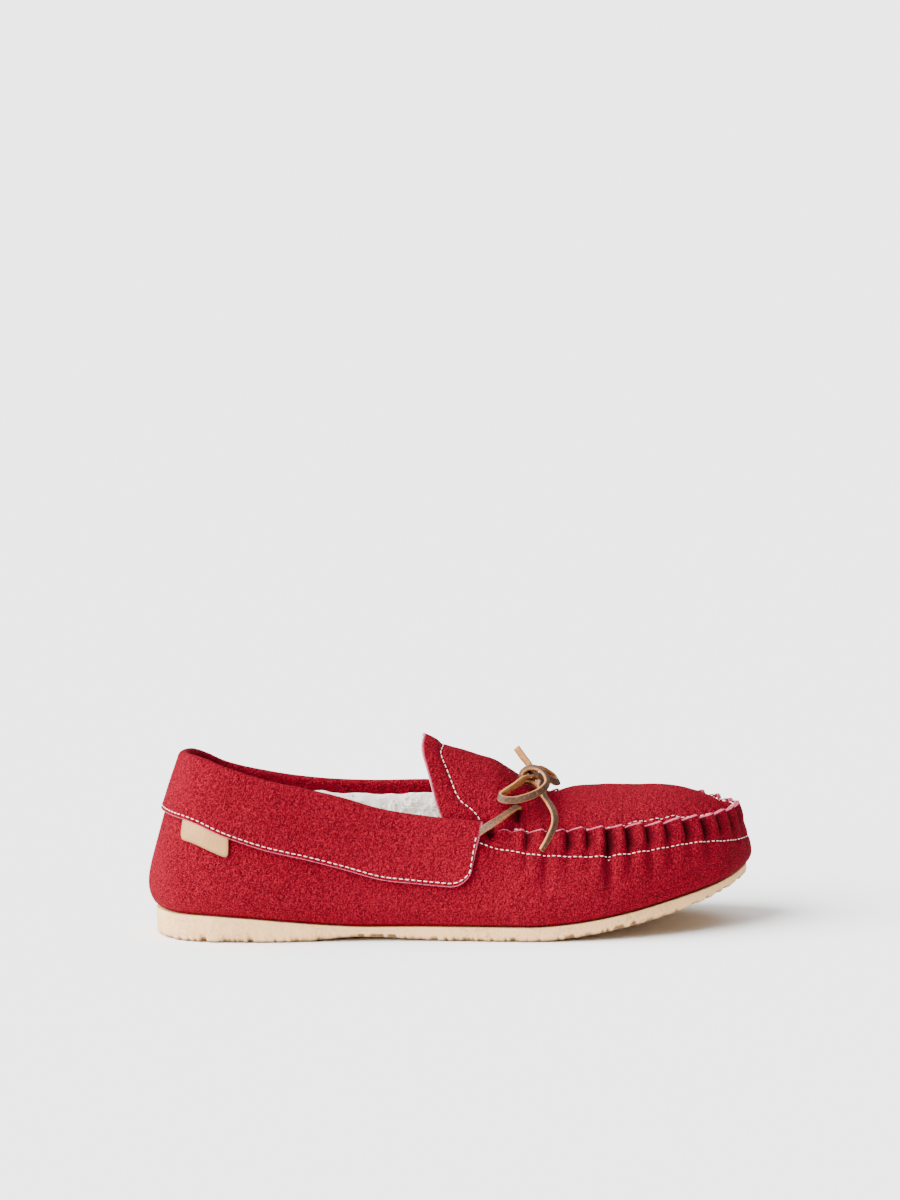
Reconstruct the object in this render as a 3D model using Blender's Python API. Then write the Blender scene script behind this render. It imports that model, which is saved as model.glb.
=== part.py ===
"""Moccasin slipper for a right foot, empty and standing on its sole, at its real size.

A suede tub is gathered to an apron with a raised seam, a suede cuff is folded over the collar, a leather lace
comes out of the cuff's ends and is tied over the apron, and a crepe sole with a low heel wedge closes it below.

Everything is worked out in millimetres on the last: X from the sole's heel end to the toe, Y to the medial side,
Z up from the floor. The finished meshes are in metres, with the middle of the shoe over the origin.
"""

import math
from collections import namedtuple

import bpy
import numpy as np

MM = 0.001

# Sole
SOLE_LENGTH = 255.0
BALL_WIDTH = 90.0
FOREFOOT_THICKNESS = 6.0
TOE_THINNING = 1.5
HEEL_WEDGE = 5.3
WEDGE_START = 15.0
WEDGE_END = 95.0
BREAST_START = 60.0
BREAST_END = 86.0
ARCH_END = 128.0
ARCH_LIFT = 1.7
TOE_SPRING = 19.4
SPRING_START = 160.0
SPRING_POWER = 1.66
SOLE_EDGE_ROUND = 1.2
SOLE_EDGE_INSET = 2.2

# Insole
INSOLE_THICKNESS = 4.0
INSOLE_CLEARANCE = 2.0

# Upper
SUEDE = 1.5
GAP = 0.3
FOOT_INSET = 0.8
MARGIN_WIDTH = 10.0
BACK_HEIGHT = 76.5
VAMP_HEIGHT = 38.5
INSTEP_HEIGHT = 64.7
THROAT = 149.4
THROAT_BLEND = 12.0
BULGE = 4.0
LEAN_POWER = 1.8

# Gathered seam
LOBES = 14
RIDGE_HEIGHT = 2.2
RIDGE_WIDTH = 3.0
RIDGE_TOP_WIDTH = 1.8
SCALLOP = 1.3
GATHER_DEPTH = 1.1
GATHER_START = 0.4

# Tongue
TONGUE_PEAK = 117.4
TONGUE_SHOULDER = 1.8
TONGUE_CORNER = 126.0
TONGUE_LATERAL = 27.3
TONGUE_MEDIAL = 24.3
TONGUE_LATERAL_HEIGHT = 49.5
TONGUE_MEDIAL_HEIGHT = 54.5
SHOULDER_SHARE = 0.3

# Collar cuff
CUFF_FOLD_IN = 13.0
CUFF_FRONT = 139.9
CUFF_CORNER = 11.0
CUFF_LEAN = 3.0
CUFF_LEAN_REACH = 45.0

# Side tab
TAB_LENGTH = 22.5
TAB_DEPTH = 8.0
TAB_THICKNESS = 1.3
TAB_START = 11.6

# Lace and its slits
LACE_WIDTH = 3.2
LACE_THICKNESS = 1.6
LACE_LIFT = 0.35
LACE_START = 2.4
SLIT_AT = 156.5

# How finely the faceted solids are cut
HEEL_COLUMN = 5.0
HEEL_ARC = 45.0
SIDE_COLUMNS = 9
CORNER_COLUMNS = 4
THROAT_COLUMNS = 2
COLUMNS_PER_LOBE = 3
WALL_SHARES = (0.0, 0.1, 0.22, 0.4, 0.6, 0.8, 1.0)
APRON_SHARES = (0.0, 0.09, 0.2, 0.35, 0.5, 0.65, 0.8, 0.91, 1.0)
TONGUE_ROWS = 8
SOLE_STATIONS = 44
DENSE = 40

# Half widths of the sole, as shares of the ball width, at shares of the sole's length.
OutlineRow = namedtuple("OutlineRow", "along across")
LATERAL_OUTLINE = [
    OutlineRow(0.030, 0.225),
    OutlineRow(0.085, 0.320),
    OutlineRow(0.170, 0.362),
    OutlineRow(0.300, 0.375),
    OutlineRow(0.420, 0.395),
    OutlineRow(0.530, 0.443),
    OutlineRow(0.630, 0.492),
    OutlineRow(0.720, 0.500),
    OutlineRow(0.810, 0.460),
    OutlineRow(0.890, 0.372),
    OutlineRow(0.955, 0.235),
    OutlineRow(0.990, 0.060),
]
MEDIAL_OUTLINE = [
    OutlineRow(0.030, 0.225),
    OutlineRow(0.085, 0.320),
    OutlineRow(0.180, 0.355),
    OutlineRow(0.320, 0.330),
    OutlineRow(0.450, 0.328),
    OutlineRow(0.570, 0.390),
    OutlineRow(0.680, 0.455),
    OutlineRow(0.770, 0.465),
    OutlineRow(0.865, 0.418),
    OutlineRow(0.940, 0.325),
    OutlineRow(0.985, 0.200),
]
TOE_TIP_ACROSS = 0.075

# Rim of the tub and drop of the cuff's outer band below it, as shares of BACK_HEIGHT; the rim is measured from the floor.
RimRow = namedtuple("RimRow", "along lateral medial cuff")
RIM = [
    RimRow(0.00, 1.000, 1.000, 0.302),
    RimRow(0.06, 0.998, 0.964, 0.325),
    RimRow(0.12, 0.946, 0.880, 0.349),
    RimRow(0.19, 0.876, 0.818, 0.356),
    RimRow(0.26, 0.824, 0.778, 0.360),
    RimRow(0.32, 0.772, 0.758, 0.362),
    RimRow(0.38, 0.710, 0.749, 0.358),
    RimRow(0.45, 0.668, 0.748, 0.344),
    RimRow(0.55, 0.634, 0.730, 0.336),
    RimRow(0.62, 0.612, 0.710, 0.330),
]

# Foot of the seam's ridge: height over the sole, as a share of VAMP_HEIGHT.
SeamRow = namedtuple("SeamRow", "along lateral medial")
SEAM = [
    SeamRow(0.50, 1.030, 1.200),
    SeamRow(0.60, 1.000, 1.184),
    SeamRow(0.71, 0.964, 1.156),
    SeamRow(0.78, 0.909, 1.086),
    SeamRow(0.85, 0.823, 0.966),
    SeamRow(0.915, 0.755, 0.852),
    SeamRow(0.96, 0.690, 0.745),
    SeamRow(1.00, 0.620, 0.620),
]

# Side wall: how far its top lies inside the sole's outline, as a share of BALL_WIDTH, and its bulge.
WallRow = namedtuple("WallRow", "along lateral medial bulge bulge_at")
WALL = [
    WallRow(0.00, 0.143, 0.143, 1.12, 0.20),
    WallRow(0.07, 0.110, 0.100, 1.05, 0.21),
    WallRow(0.15, 0.078, 0.066, 0.95, 0.22),
    WallRow(0.25, 0.061, 0.042, 1.00, 0.25),
    WallRow(0.37, 0.056, 0.022, 1.00, 0.28),
    WallRow(0.48, 0.063, 0.026, 1.02, 0.30),
    WallRow(0.55, 0.083, 0.046, 1.05, 0.30),
    WallRow(0.60, 0.103, 0.075, 1.08, 0.30),
    WallRow(0.70, 0.117, 0.105, 1.10, 0.30),
    WallRow(0.78, 0.107, 0.105, 1.08, 0.29),
    WallRow(0.85, 0.089, 0.089, 1.02, 0.28),
    WallRow(0.92, 0.064, 0.067, 0.95, 0.27),
    WallRow(0.97, 0.042, 0.044, 0.90, 0.26),
    WallRow(1.00, 0.032, 0.032, 0.88, 0.26),
]

# Crest of the apron and the tongue: height over the sole, as a share of INSTEP_HEIGHT.
CrestRow = namedtuple("CrestRow", "along height")
CREST = [
    CrestRow(0.430, 1.262),
    CrestRow(0.460, 1.207),
    CrestRow(0.492, 1.136),
    CrestRow(0.524, 1.092),
    CrestRow(0.550, 1.052),
    CrestRow(0.585, 0.998),
    CrestRow(0.613, 0.915),
    CrestRow(0.645, 0.808),
    CrestRow(0.680, 0.772),
    CrestRow(0.731, 0.768),
    CrestRow(0.782, 0.740),
    CrestRow(0.837, 0.683),
    CrestRow(0.888, 0.606),
    CrestRow(0.947, 0.485),
    CrestRow(0.982, 0.395),
    CrestRow(1.000, 0.368),
]

# The bow, in millimetres on the last. Each list is the middle line of one piece, away from the knot.
LacePoint = namedtuple("LacePoint", "x y z")
KNOT = LacePoint(163.2, -3.0, 65.1)
KNOT_RADII = LacePoint(4.4, 5.0, 3.4)
LOOP_NEAR = [
    LacePoint(162.0, -8.5, 66.1),
    LacePoint(160.0, -12.0, 66.3),
    LacePoint(156.9, -16.0, 63.9),
    LacePoint(152.5, -21.5, 62.1),
    LacePoint(148.8, -24.5, 59.9),
    LacePoint(150.3, -26.0, 58.6),
    LacePoint(155.5, -27.0, 58.4),
    LacePoint(161.1, -26.0, 59.7),
    LacePoint(165.9, -22.5, 61.6),
    LacePoint(169.0, -16.5, 63.5),
    LacePoint(168.2, -11.2, 65.7),
]
LOOP_FAR = [
    LacePoint(165.2, 4.0, 67.4),
    LacePoint(169.0, 8.0, 65.6),
    LacePoint(172.4, 10.5, 62.4),
    LacePoint(174.3, 10.0, 59.4),
    LacePoint(173.2, 7.0, 58.4),
    LacePoint(170.2, 3.5, 60.0),
]
END_UP = [
    LacePoint(162.0, -0.5, 69.4),
    LacePoint(159.2, 1.0, 72.5),
    LacePoint(156.5, 2.0, 76.1),
]
END_DOWN = [
    LacePoint(164.4, -8.4, 63.9),
    LacePoint(166.8, -14.0, 60.7),
    LacePoint(167.8, -18.5, 58.4),
    LacePoint(170.1, -25.0, 56.0),
    LacePoint(171.8, -31.5, 52.7),
    LacePoint(171.7, -36.5, 49.2),
    LacePoint(169.2, -40.5, 44.3),
    LacePoint(165.7, -42.3, 39.0),
]
LACE_TUBE = 1.2
TUBE_STEP = 3.0

SUEDE_RED = (0.42, 0.012, 0.03, 1.0)
CREPE_CREAM = (0.72, 0.55, 0.36, 1.0)
FLEECE_CREAM = (0.80, 0.72, 0.60, 1.0)
TAB_TAN = (0.60, 0.40, 0.24, 1.0)
LACE_BROWN = (0.27, 0.13, 0.06, 1.0)


def smooth(knots, values, at):
    """Values at the given places on a smooth curve through the knots, with tangents taken from the neighbours."""
    knots = np.asarray(knots, float)
    values = np.asarray(values, float)
    step = np.diff(knots)
    slope = np.diff(values) / step
    tangent = np.empty_like(values)
    tangent[1:-1] = (slope[:-1] * step[1:] + slope[1:] * step[:-1]) / (step[:-1] + step[1:])
    tangent[0] = slope[0]
    tangent[-1] = slope[-1]
    at = np.clip(np.asarray(at, float), knots[0], knots[-1])
    i = np.clip(np.searchsorted(knots, at, side="right") - 1, 0, len(step) - 1)
    t = (at - knots[i]) / step[i]
    rise = t * t * (3 - 2 * t)
    lead = t * (1 - t) * (1 - t) * tangent[i] - t * t * (1 - t) * tangent[i + 1]
    return values[i] * (1 - rise) + values[i + 1] * rise + lead * step[i]


def column(table, name, along):
    """One named column of a table at shares along the sole."""
    knots = [row.along for row in table]
    return smooth(knots, [getattr(row, name) for row in table], along)


def ease(low, high, at):
    """0 below low, 1 above high and a soft step between them."""
    t = np.clip((np.asarray(at, float) - low) / (high - low), 0, 1)
    return t * t * (3 - 2 * t)


def outline_loop():
    """Dense points of the sole's outline, from the heel along the lateral side to the toe and back, and their distances."""
    lateral = [(row.along, -row.across) for row in LATERAL_OUTLINE]
    medial = [(row.along, row.across) for row in MEDIAL_OUTLINE]
    corners = np.array([(0.0, 0.0)] + lateral + [(1.0, TOE_TIP_ACROSS)] + medial[::-1])
    corners *= (SOLE_LENGTH, BALL_WIDTH)
    wrapped = np.vstack([corners[-3:], corners, corners[:4]])
    knots = np.concatenate([[0], np.cumsum(np.sqrt(np.linalg.norm(np.diff(wrapped, axis=0), axis=1)))])
    first = 3
    last = first + len(corners)
    at = np.linspace(knots[first], knots[last], DENSE * len(corners))
    points = np.column_stack([smooth(knots, wrapped[:, 0], at), smooth(knots, wrapped[:, 1], at)])
    distance = np.concatenate([[0], np.cumsum(np.linalg.norm(np.diff(points, axis=0), axis=1))])
    return points, distance


OUTLINE, DISTANCE = outline_loop()
TOE = int(np.argmax(OUTLINE[:, 0]))
TOTAL = DISTANCE[-1]
TOE_DISTANCE = DISTANCE[TOE]


def on_outline(distance):
    """Points of the outline at distances from the heel, and the outward normals there."""
    distance = np.asarray(distance, float) % TOTAL
    point = np.column_stack([np.interp(distance, DISTANCE, OUTLINE[:, i]) for i in (0, 1)])
    reach = 1.5
    before = (distance - reach) % TOTAL
    after = (distance + reach) % TOTAL
    tangent = np.column_stack(
        [np.interp(after, DISTANCE, OUTLINE[:, i]) - np.interp(before, DISTANCE, OUTLINE[:, i]) for i in (0, 1)]
    )
    tangent /= np.linalg.norm(tangent, axis=1)[:, None]
    return point, np.column_stack([tangent[:, 1], -tangent[:, 0]])


def distance_at(x, lateral):
    """Distance from the heel to the place where the outline has this x, on the lateral or the medial side."""
    if lateral:
        return float(np.interp(x, OUTLINE[: TOE + 1, 0], DISTANCE[: TOE + 1]))
    return float(np.interp(x, OUTLINE[: TOE - 1 : -1, 0], DISTANCE[: TOE - 1 : -1]))


def spring(x):
    """How far the toe spring lifts the sole at x."""
    share = np.clip((np.asarray(x, float) - SPRING_START) / (SOLE_LENGTH - SPRING_START), 0, None)
    return TOE_SPRING * share**SPRING_POWER


def sole_bottom(x):
    arch = ARCH_LIFT * ease(BREAST_START, BREAST_END, x) * (1 - ease(BREAST_END, ARCH_END, x))
    return spring(x) + arch


def sole_top(x):
    wedge = HEEL_WEDGE * (1 - ease(WEDGE_START, WEDGE_END, x))
    thinning = TOE_THINNING * ease(SOLE_LENGTH - 40, SOLE_LENGTH, x)
    return spring(x) + FOREFOOT_THICKNESS + wedge - thinning


def crest(x):
    """Height of the apron and the tongue along their middle."""
    return sole_top(x) + INSTEP_HEIGHT * column(CREST, "height", x / SOLE_LENGTH)


class Wall:
    """The tub's side wall above given distances along the outline, as one upright profile for each."""

    def __init__(self, distance):
        self.distance = np.asarray(distance, float)
        self.point, self.normal = on_outline(self.distance)
        lateral = (self.distance % TOTAL) <= TOE_DISTANCE
        along = np.clip(self.point[:, 0] / SOLE_LENGTH, 0, 1)
        self.inset = BALL_WIDTH * np.where(lateral, column(WALL, "lateral", along), column(WALL, "medial", along))
        self.bulge = BULGE * column(WALL, "bulge", along)
        self.bulge_at = column(WALL, "bulge_at", along)
        foot = self.point - self.normal * FOOT_INSET
        self.foot_height = sole_top(foot[:, 0]) + GAP
        rim = BACK_HEIGHT * np.where(lateral, column(RIM, "lateral", along), column(RIM, "medial", along))
        seam = VAMP_HEIGHT * np.where(lateral, column(SEAM, "lateral", along), column(SEAM, "medial", along))
        seam += sole_top(self.point[:, 0])
        front = ease(THROAT - THROAT_BLEND, THROAT, self.point[:, 0])
        self.top_height = rim * (1 - front) + seam * front
        self.height = self.top_height - self.foot_height

    def profile(self, share):
        """Offset out of the outline and height of the wall's outer face at a share of its height."""
        swell = share / self.bulge_at * np.exp(1 - share / self.bulge_at)
        left = 1 / self.bulge_at * np.exp(1 - 1 / self.bulge_at)
        offset = -FOOT_INSET + self.bulge * (swell - left * share) - (self.inset - FOOT_INSET) * share**LEAN_POWER
        return offset, self.foot_height + self.height * share

    def facing(self, share):
        """The outer face's normal in the upright plane: its outward and its upward part."""
        step = 0.01
        low, low_z = self.profile(np.maximum(share - step, 0))
        high, high_z = self.profile(np.minimum(share + step, 1))
        out = high_z - low_z
        up = low - high
        size = np.hypot(out, up)
        return out / size, up / size

    def place(self, offset, z):
        """Points at an offset out of the outline and a height."""
        return np.column_stack([self.point + self.normal * np.asarray(offset)[:, None], z])

    def layer(self, share, depth):
        """Points at a depth under the outer face, negative for outside it."""
        offset, z = self.profile(share)
        out, up = self.facing(share)
        return self.place(offset - depth * out, z - depth * up)


def rear_distances(front_end, throat):
    """Distances of the columns from the heel to the throat, close at the heel and at the cuff's front corner."""
    heel = np.arange(0, HEEL_ARC, HEEL_COLUMN)
    corner = front_end - CUFF_CORNER
    side = np.linspace(HEEL_ARC, corner, SIDE_COLUMNS)
    turn = np.arange(1, CORNER_COLUMNS + 1) / CORNER_COLUMNS * math.pi / 2
    corner_columns = corner + CUFF_CORNER * np.sin(turn)
    gap = np.linspace(front_end, throat, THROAT_COLUMNS + 2)[1:-1]
    return np.concatenate([heel, side, corner_columns, gap])


def columns():
    """Distances of all columns of the tub, and the index of the two throat columns and of the toe's."""
    lateral_throat = distance_at(THROAT, True)
    medial_throat = distance_at(THROAT, False)
    lateral = rear_distances(distance_at(CUFF_FRONT, True), lateral_throat)
    medial = rear_distances(TOTAL - distance_at(CUFF_FRONT, False), TOTAL - medial_throat)
    across = LOBES * COLUMNS_PER_LOBE
    front = np.concatenate(
        [
            np.linspace(lateral_throat, TOE_DISTANCE, across + 1),
            np.linspace(TOE_DISTANCE, medial_throat, across + 1)[1:],
        ]
    )
    first = len(lateral)
    distances = np.concatenate([lateral, front, TOTAL - medial[:0:-1]])
    return distances, first, first + across, first + 2 * across


COLUMNS, LATERAL_THROAT, TOE_COLUMN, MEDIAL_THROAT = columns()


def gather(phase):
    """-1 in a groove of the gathered seam and 1 on a lobe, for a phase of one per lobe."""
    return np.where(np.isclose(phase % 1, 0) | np.isclose(phase % 1, 1), -1.0, 1.0)


def add_solid(name, points, faces, colour, roughness=0.9):
    """A named object with its own material, from points in millimetres on the last."""
    mesh = bpy.data.meshes.new(name)
    mesh.from_pydata((np.asarray(points) * MM).tolist(), [], [list(map(int, face)) for face in faces])
    mesh.validate()
    mesh.shade_smooth()
    mesh.set_sharp_from_angle(angle=math.radians(40))
    solid = bpy.data.objects.new(name, mesh)
    bpy.context.scene.collection.objects.link(solid)
    solid.data.materials.append(material(name, colour, roughness))
    return solid


def material(name, colour, roughness):
    made = bpy.data.materials.new(name)
    made.use_nodes = True
    shader = made.node_tree.nodes["Principled BSDF"]
    shader.inputs["Base Color"].default_value = colour
    shader.inputs["Roughness"].default_value = roughness
    shader.inputs["Metallic"].default_value = 0.0
    return made


def shell(name, outer, inner, faces, colour):
    """A closed wall between two layers of points that share the same faces."""
    count = len(outer)
    edges = {(face[i], face[(i + 1) % len(face)]) for face in faces for i in range(len(face))}
    rim = [(a, b) for a, b in sorted(edges) if (b, a) not in edges]
    sides = [(b, a, a + count, b + count) for a, b in rim]
    back = [tuple(i + count for i in reversed(face)) for face in faces]
    return add_solid(name, np.vstack([outer, inner]), list(faces) + back + sides, colour)


def grid_faces(rows, across, closed=False):
    """Faces of a grid whose points are numbered row by row, each row holding `across` points."""
    wrap = across if closed else across - 1
    return [
        (i * across + j, i * across + (j + 1) % across, (i + 1) * across + (j + 1) % across, (i + 1) * across + j)
        for i in range(rows - 1)
        for j in range(wrap)
    ]


def face_normals_at_points(points, faces):
    """A unit normal at each point, averaged over the faces around it."""
    total = np.zeros_like(points)
    for face in faces:
        a, b, c = points[face[0]], points[face[1]], points[face[-1]]
        d = points[face[2]]
        normal = np.cross(d - a, c - b) if len(face) == 4 else np.cross(b - a, c - a)
        total[list(face)] += normal
    return total / np.maximum(np.linalg.norm(total, axis=1), 1e-9)[:, None]


def apron_points(lateral_edge, medial_edge):
    """Rows of the apron from the toe back, each from its lateral to its medial edge point, as (row, across, 3)."""
    rows = len(lateral_edge)
    share = np.array(APRON_SHARES)
    chord = (lateral_edge + medial_edge)[:, 0] / 2
    even = chord[0] + (chord[-1] - chord[0]) * np.arange(rows) / (rows - 1)
    edge = lateral_edge[:, None] * (1 - share)[:, None] + medial_edge[:, None] * share[:, None]
    dome = 4 * share * (1 - share)
    edge[..., 0] -= (chord - even)[:, None] * dome
    middle = (lateral_edge + medial_edge)[:, 2] / 2
    rise = np.maximum(crest(edge[..., 0]) - middle[:, None], 0)
    edge[..., 2] += rise * dome
    return edge


def upper():
    """Tub and apron as one hollow wall: margin turned in over the sole, side wall, gathered ridge, apron."""
    wall = Wall(COLUMNS)
    count = len(COLUMNS)
    front = np.zeros(count, bool)
    front[LATERAL_THROAT : MEDIAL_THROAT + 1] = True
    steps = np.abs(np.arange(count) - TOE_COLUMN)
    phase = steps / COLUMNS_PER_LOBE
    reach = np.where(front, ease(0, 1.0, LOBES - phase), 0)
    lobe = np.where(front, gather(phase), 0)

    outer = []
    inner = []
    margin = wall.place(np.full(count, -MARGIN_WIDTH), np.zeros(count))
    margin[:, 2] = sole_top(margin[:, 0]) + GAP
    outer.append(margin)
    inner.append(margin + (0, 0, SUEDE))
    for share in WALL_SHARES:
        fade = reach * ease(GATHER_START, 1.0, share)
        depth = SUEDE + GATHER_DEPTH * fade
        outer.append(wall.layer(share, -GATHER_DEPTH * lobe * fade))
        if share == 0:
            turned = wall.place(np.full(count, -FOOT_INSET - SUEDE), np.zeros(count))
            turned[:, 2] = sole_top(turned[:, 0]) + GAP + SUEDE
            inner.append(turned)
        else:
            inner.append(wall.layer(share, depth))
    rows = len(outer)
    faces = grid_faces(rows, count, closed=True)

    offset, z = wall.profile(1.0)
    raised = RIDGE_HEIGHT + SCALLOP * (lobe - 1) / 2
    lean = (RIDGE_WIDTH - RIDGE_TOP_WIDTH) / 2
    ridge = [
        wall.place(offset - lean + GATHER_DEPTH * lobe * reach * 0.6, z + raised * reach),
        wall.place(offset - lean - RIDGE_TOP_WIDTH, z + raised * reach),
        wall.place(offset - RIDGE_WIDTH, z),
    ]
    depth = SUEDE + GATHER_DEPTH * reach
    under = wall.place(offset - RIDGE_WIDTH - 1.0, z - depth)
    under_first = wall.place(offset - depth, z - 1.2 * depth)
    inner[-1][front] = under_first[front]
    hidden_start = np.vstack(inner)
    front_columns = np.flatnonzero(front)
    points = list(np.vstack(outer))
    hidden = list(hidden_start)
    row_index = [np.arange(count) + (rows - 1) * count]
    for i, layer in enumerate(ridge, 1):
        index = np.full(count, -1)
        index[front_columns] = len(points) + np.arange(len(front_columns))
        points += list(layer[front_columns])
        hidden += list((under_first + (under - under_first) * i / len(ridge))[front_columns])
        row_index.append(index)
    for low, high in zip(row_index, row_index[1:]):
        faces += [(low[j], low[j + 1], high[j + 1], high[j]) for j in front_columns[:-1]]

    edge = row_index[-1]
    reach_back = TOE_COLUMN - LATERAL_THROAT
    lateral = [edge[TOE_COLUMN - k] for k in range(reach_back + 1)]
    medial = [edge[TOE_COLUMN + k] for k in range(reach_back + 1)]
    points_array = np.array(points)
    apron = apron_points(points_array[lateral], points_array[medial])
    across = len(APRON_SHARES)
    numbers = [[lateral[0]] * across]
    for k in range(1, reach_back + 1):
        first = len(points)
        points += list(apron[k, 1:-1])
        numbers.append([lateral[k]] + list(range(first, first + across - 2)) + [medial[k]])
    slit_row = int(np.argmin(np.abs(apron[:, across // 2, 0] - SLIT_AT)))
    slits = {1, across - 3}
    apron_faces = []
    for k in range(reach_back):
        for m in range(across - 1):
            a, b = numbers[k][m], numbers[k][m + 1]
            c, d = numbers[k + 1][m + 1], numbers[k + 1][m]
            if k == slit_row and m in slits:
                continue
            apron_faces.append((a, c, d) if a == b else (a, b, c, d))
    points = np.array(points)
    used = len(hidden)
    normals = face_normals_at_points(points, apron_faces)
    hidden = np.vstack([np.array(hidden), points[used:] - SUEDE * normals[used:]])
    return shell("upper", points, hidden, faces + apron_faces, SUEDE_RED)


def throat_edge():
    """The two ends of the apron's rear edge, where the tongue begins."""
    ends = []
    for index in (LATERAL_THROAT, MEDIAL_THROAT):
        wall = Wall(COLUMNS[index : index + 1])
        offset, z = wall.profile(1.0)
        ends.append(wall.place(offset - RIDGE_WIDTH, z)[0])
    return ends


def tongue():
    """The free flap behind the apron, clear of the cuff on both sides."""
    lateral, medial = throat_edge()
    lateral_end = np.array([TONGUE_CORNER, -TONGUE_LATERAL, TONGUE_LATERAL_HEIGHT])
    medial_end = np.array([TONGUE_CORNER, TONGUE_MEDIAL, TONGUE_MEDIAL_HEIGHT])
    share = np.array(APRON_SHARES)
    dome = 4 * share * (1 - share)
    shoulder = np.exp(-(((np.minimum(share, 1 - share) - SHOULDER_SHARE) / 0.12) ** 2))
    back_edge = TONGUE_CORNER + (TONGUE_PEAK - TONGUE_CORNER) * dome**0.5 - TONGUE_SHOULDER * shoulder
    front_edge = (lateral[0] * (1 - share) + medial[0] * share) - 1.5 * GAP
    points = []
    for v in np.linspace(0, 1, TONGUE_ROWS):
        left = lateral * (1 - v) + lateral_end * v
        right = medial * (1 - v) + medial_end * v
        row = left * (1 - share)[:, None] + right * share[:, None]
        row[:, 0] = front_edge * (1 - v) + back_edge * v
        row[:, 2] += (crest(row[:, 0]) - (left[2] + right[2]) / 2) * dome
        points.append(row)
    points = np.vstack(points)
    faces = grid_faces(TONGUE_ROWS, len(share))
    normals = face_normals_at_points(points, faces)
    return shell("tongue", points, points - SUEDE * normals, faces, SUEDE_RED)


def cuff_columns():
    """The tub's columns that the cuff covers, from its lateral front end round the heel to the medial one."""
    lateral = distance_at(CUFF_FRONT, True) + 1e-6
    medial = distance_at(CUFF_FRONT, False) - 1e-6
    return np.concatenate([COLUMNS[COLUMNS >= medial] - TOTAL, COLUMNS[COLUMNS <= lateral]])


def cuff_depth(distances):
    """Drop of the cuff's outer band below the rim, rounded off towards both front ends."""
    along = np.clip(on_outline(distances)[0][:, 0] / SOLE_LENGTH, 0, 1)
    from_end = np.minimum(distances - distances[0], distances[-1] - distances)
    turn = np.clip(1 - from_end / CUFF_CORNER, 0, 1)
    return BACK_HEIGHT * column(RIM, "cuff", along) - CUFF_CORNER * (1 - np.sqrt(1 - turn * turn))


def lean_back(distances, down):
    """The cuff's columns at a share of its drop: its front ends lean back below the rim."""
    from_end = np.minimum(distances - distances[0], distances[-1] - distances)
    side = np.sign(distances[0] + distances[-1] - 2 * distances)
    return distances + side * CUFF_LEAN * down * np.clip(1 - from_end / CUFF_LEAN_REACH, 0, 1)


def collar_cuff():
    """Suede folded over the rim: a deep band outside and a short one inside, close to the tub."""
    distances = cuff_columns()
    wall = Wall(distances)
    count = len(distances)
    drop = cuff_depth(distances)
    fold_in = CUFF_FOLD_IN / wall.height
    contours = []
    for near in (GAP + SUEDE, GAP):
        contour = []
        for down in (1.0, 0.75, 0.5, 0.25, 0.0):
            leaning = Wall(lean_back(distances, down))
            contour.append(leaning.layer(1 - drop * down / leaning.height, -near))
        offset, z = wall.profile(1.0)
        out, up = wall.facing(1.0)
        for angle in (60, 90, 120):
            turn = math.radians(angle)
            across = (SUEDE / 2 + near) * math.cos(turn) - SUEDE / 2
            over = (SUEDE / 2 + near) * math.sin(turn)
            contour.append(wall.place(offset + across * out - over * up, z + across * up + over * out))
        contour += [wall.layer(1 - fold_in * down, SUEDE + near) for down in (0.0, 0.5, 1.0)]
        contours.append(np.vstack(contour))
    faces = grid_faces(len(contours[0]) // count, count)
    return shell("collar_cuff", contours[0], contours[1], faces, SUEDE_RED)


def side_tab():
    """A small leather tab on the lateral heel, just under the cuff's edge."""
    start = distance_at(TAB_START, True)
    distances = np.linspace(start, start + TAB_LENGTH, 6)
    wall = Wall(distances)
    drop = BACK_HEIGHT * column(RIM, "cuff", wall.point[:, 0] / SOLE_LENGTH) + GAP
    top = drop / wall.height
    bottom = (drop + TAB_DEPTH) / wall.height
    downs = (1.0, 0.5, 0.0)
    outer = np.vstack([wall.layer(1 - top - (bottom - top) * down, -GAP - TAB_THICKNESS) for down in downs])
    inner = np.vstack([wall.layer(1 - top - (bottom - top) * down, -GAP) for down in downs])
    return shell("side_tab", outer, inner, grid_faces(len(downs), len(distances)), TAB_TAN)


def stations():
    """Distances of matching lateral and medial points of the outline, close together at heel and toe."""
    turn = np.linspace(0, math.pi, SOLE_STATIONS + 1)[1:-1]
    x = SOLE_LENGTH * (1 - np.cos(turn)) / 2
    lateral = np.array([distance_at(v, True) for v in x])
    medial = np.array([distance_at(v, False) for v in x])
    return np.concatenate([[0.0], lateral, [TOE_DISTANCE], medial[::-1]])


def slab(name, rings, colour):
    """A flat solid from rings of (inset, height function), lowest first, closed by strips across its width."""
    distances = stations()
    count = len(distances)
    half = count // 2
    point, normal = on_outline(distances)
    points = []
    for inset, height in rings:
        flat = point - normal * inset
        points.append(np.column_stack([flat, height(flat[:, 0])]))
    faces = grid_faces(len(rings), count, closed=True)
    top = (len(rings) - 1) * count
    for i in range(half):
        a, b = i, i + 1
        c, d = (count - i - 1) % count, (count - i) % count
        strip = [a, b, c, d] if i else [a, b, c]
        if b == c:
            strip = [a, b, d]
        faces.append(tuple(reversed(strip)))
        faces.append(tuple(n + top for n in strip))
    return add_solid(name, np.vstack(points), faces, colour)


def outsole():
    return slab(
        "outsole",
        [
            (SOLE_EDGE_INSET, sole_bottom),
            (0.0, lambda x: sole_bottom(x) + SOLE_EDGE_ROUND),
            (0.0, sole_top),
        ],
        CREPE_CREAM,
    )


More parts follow.
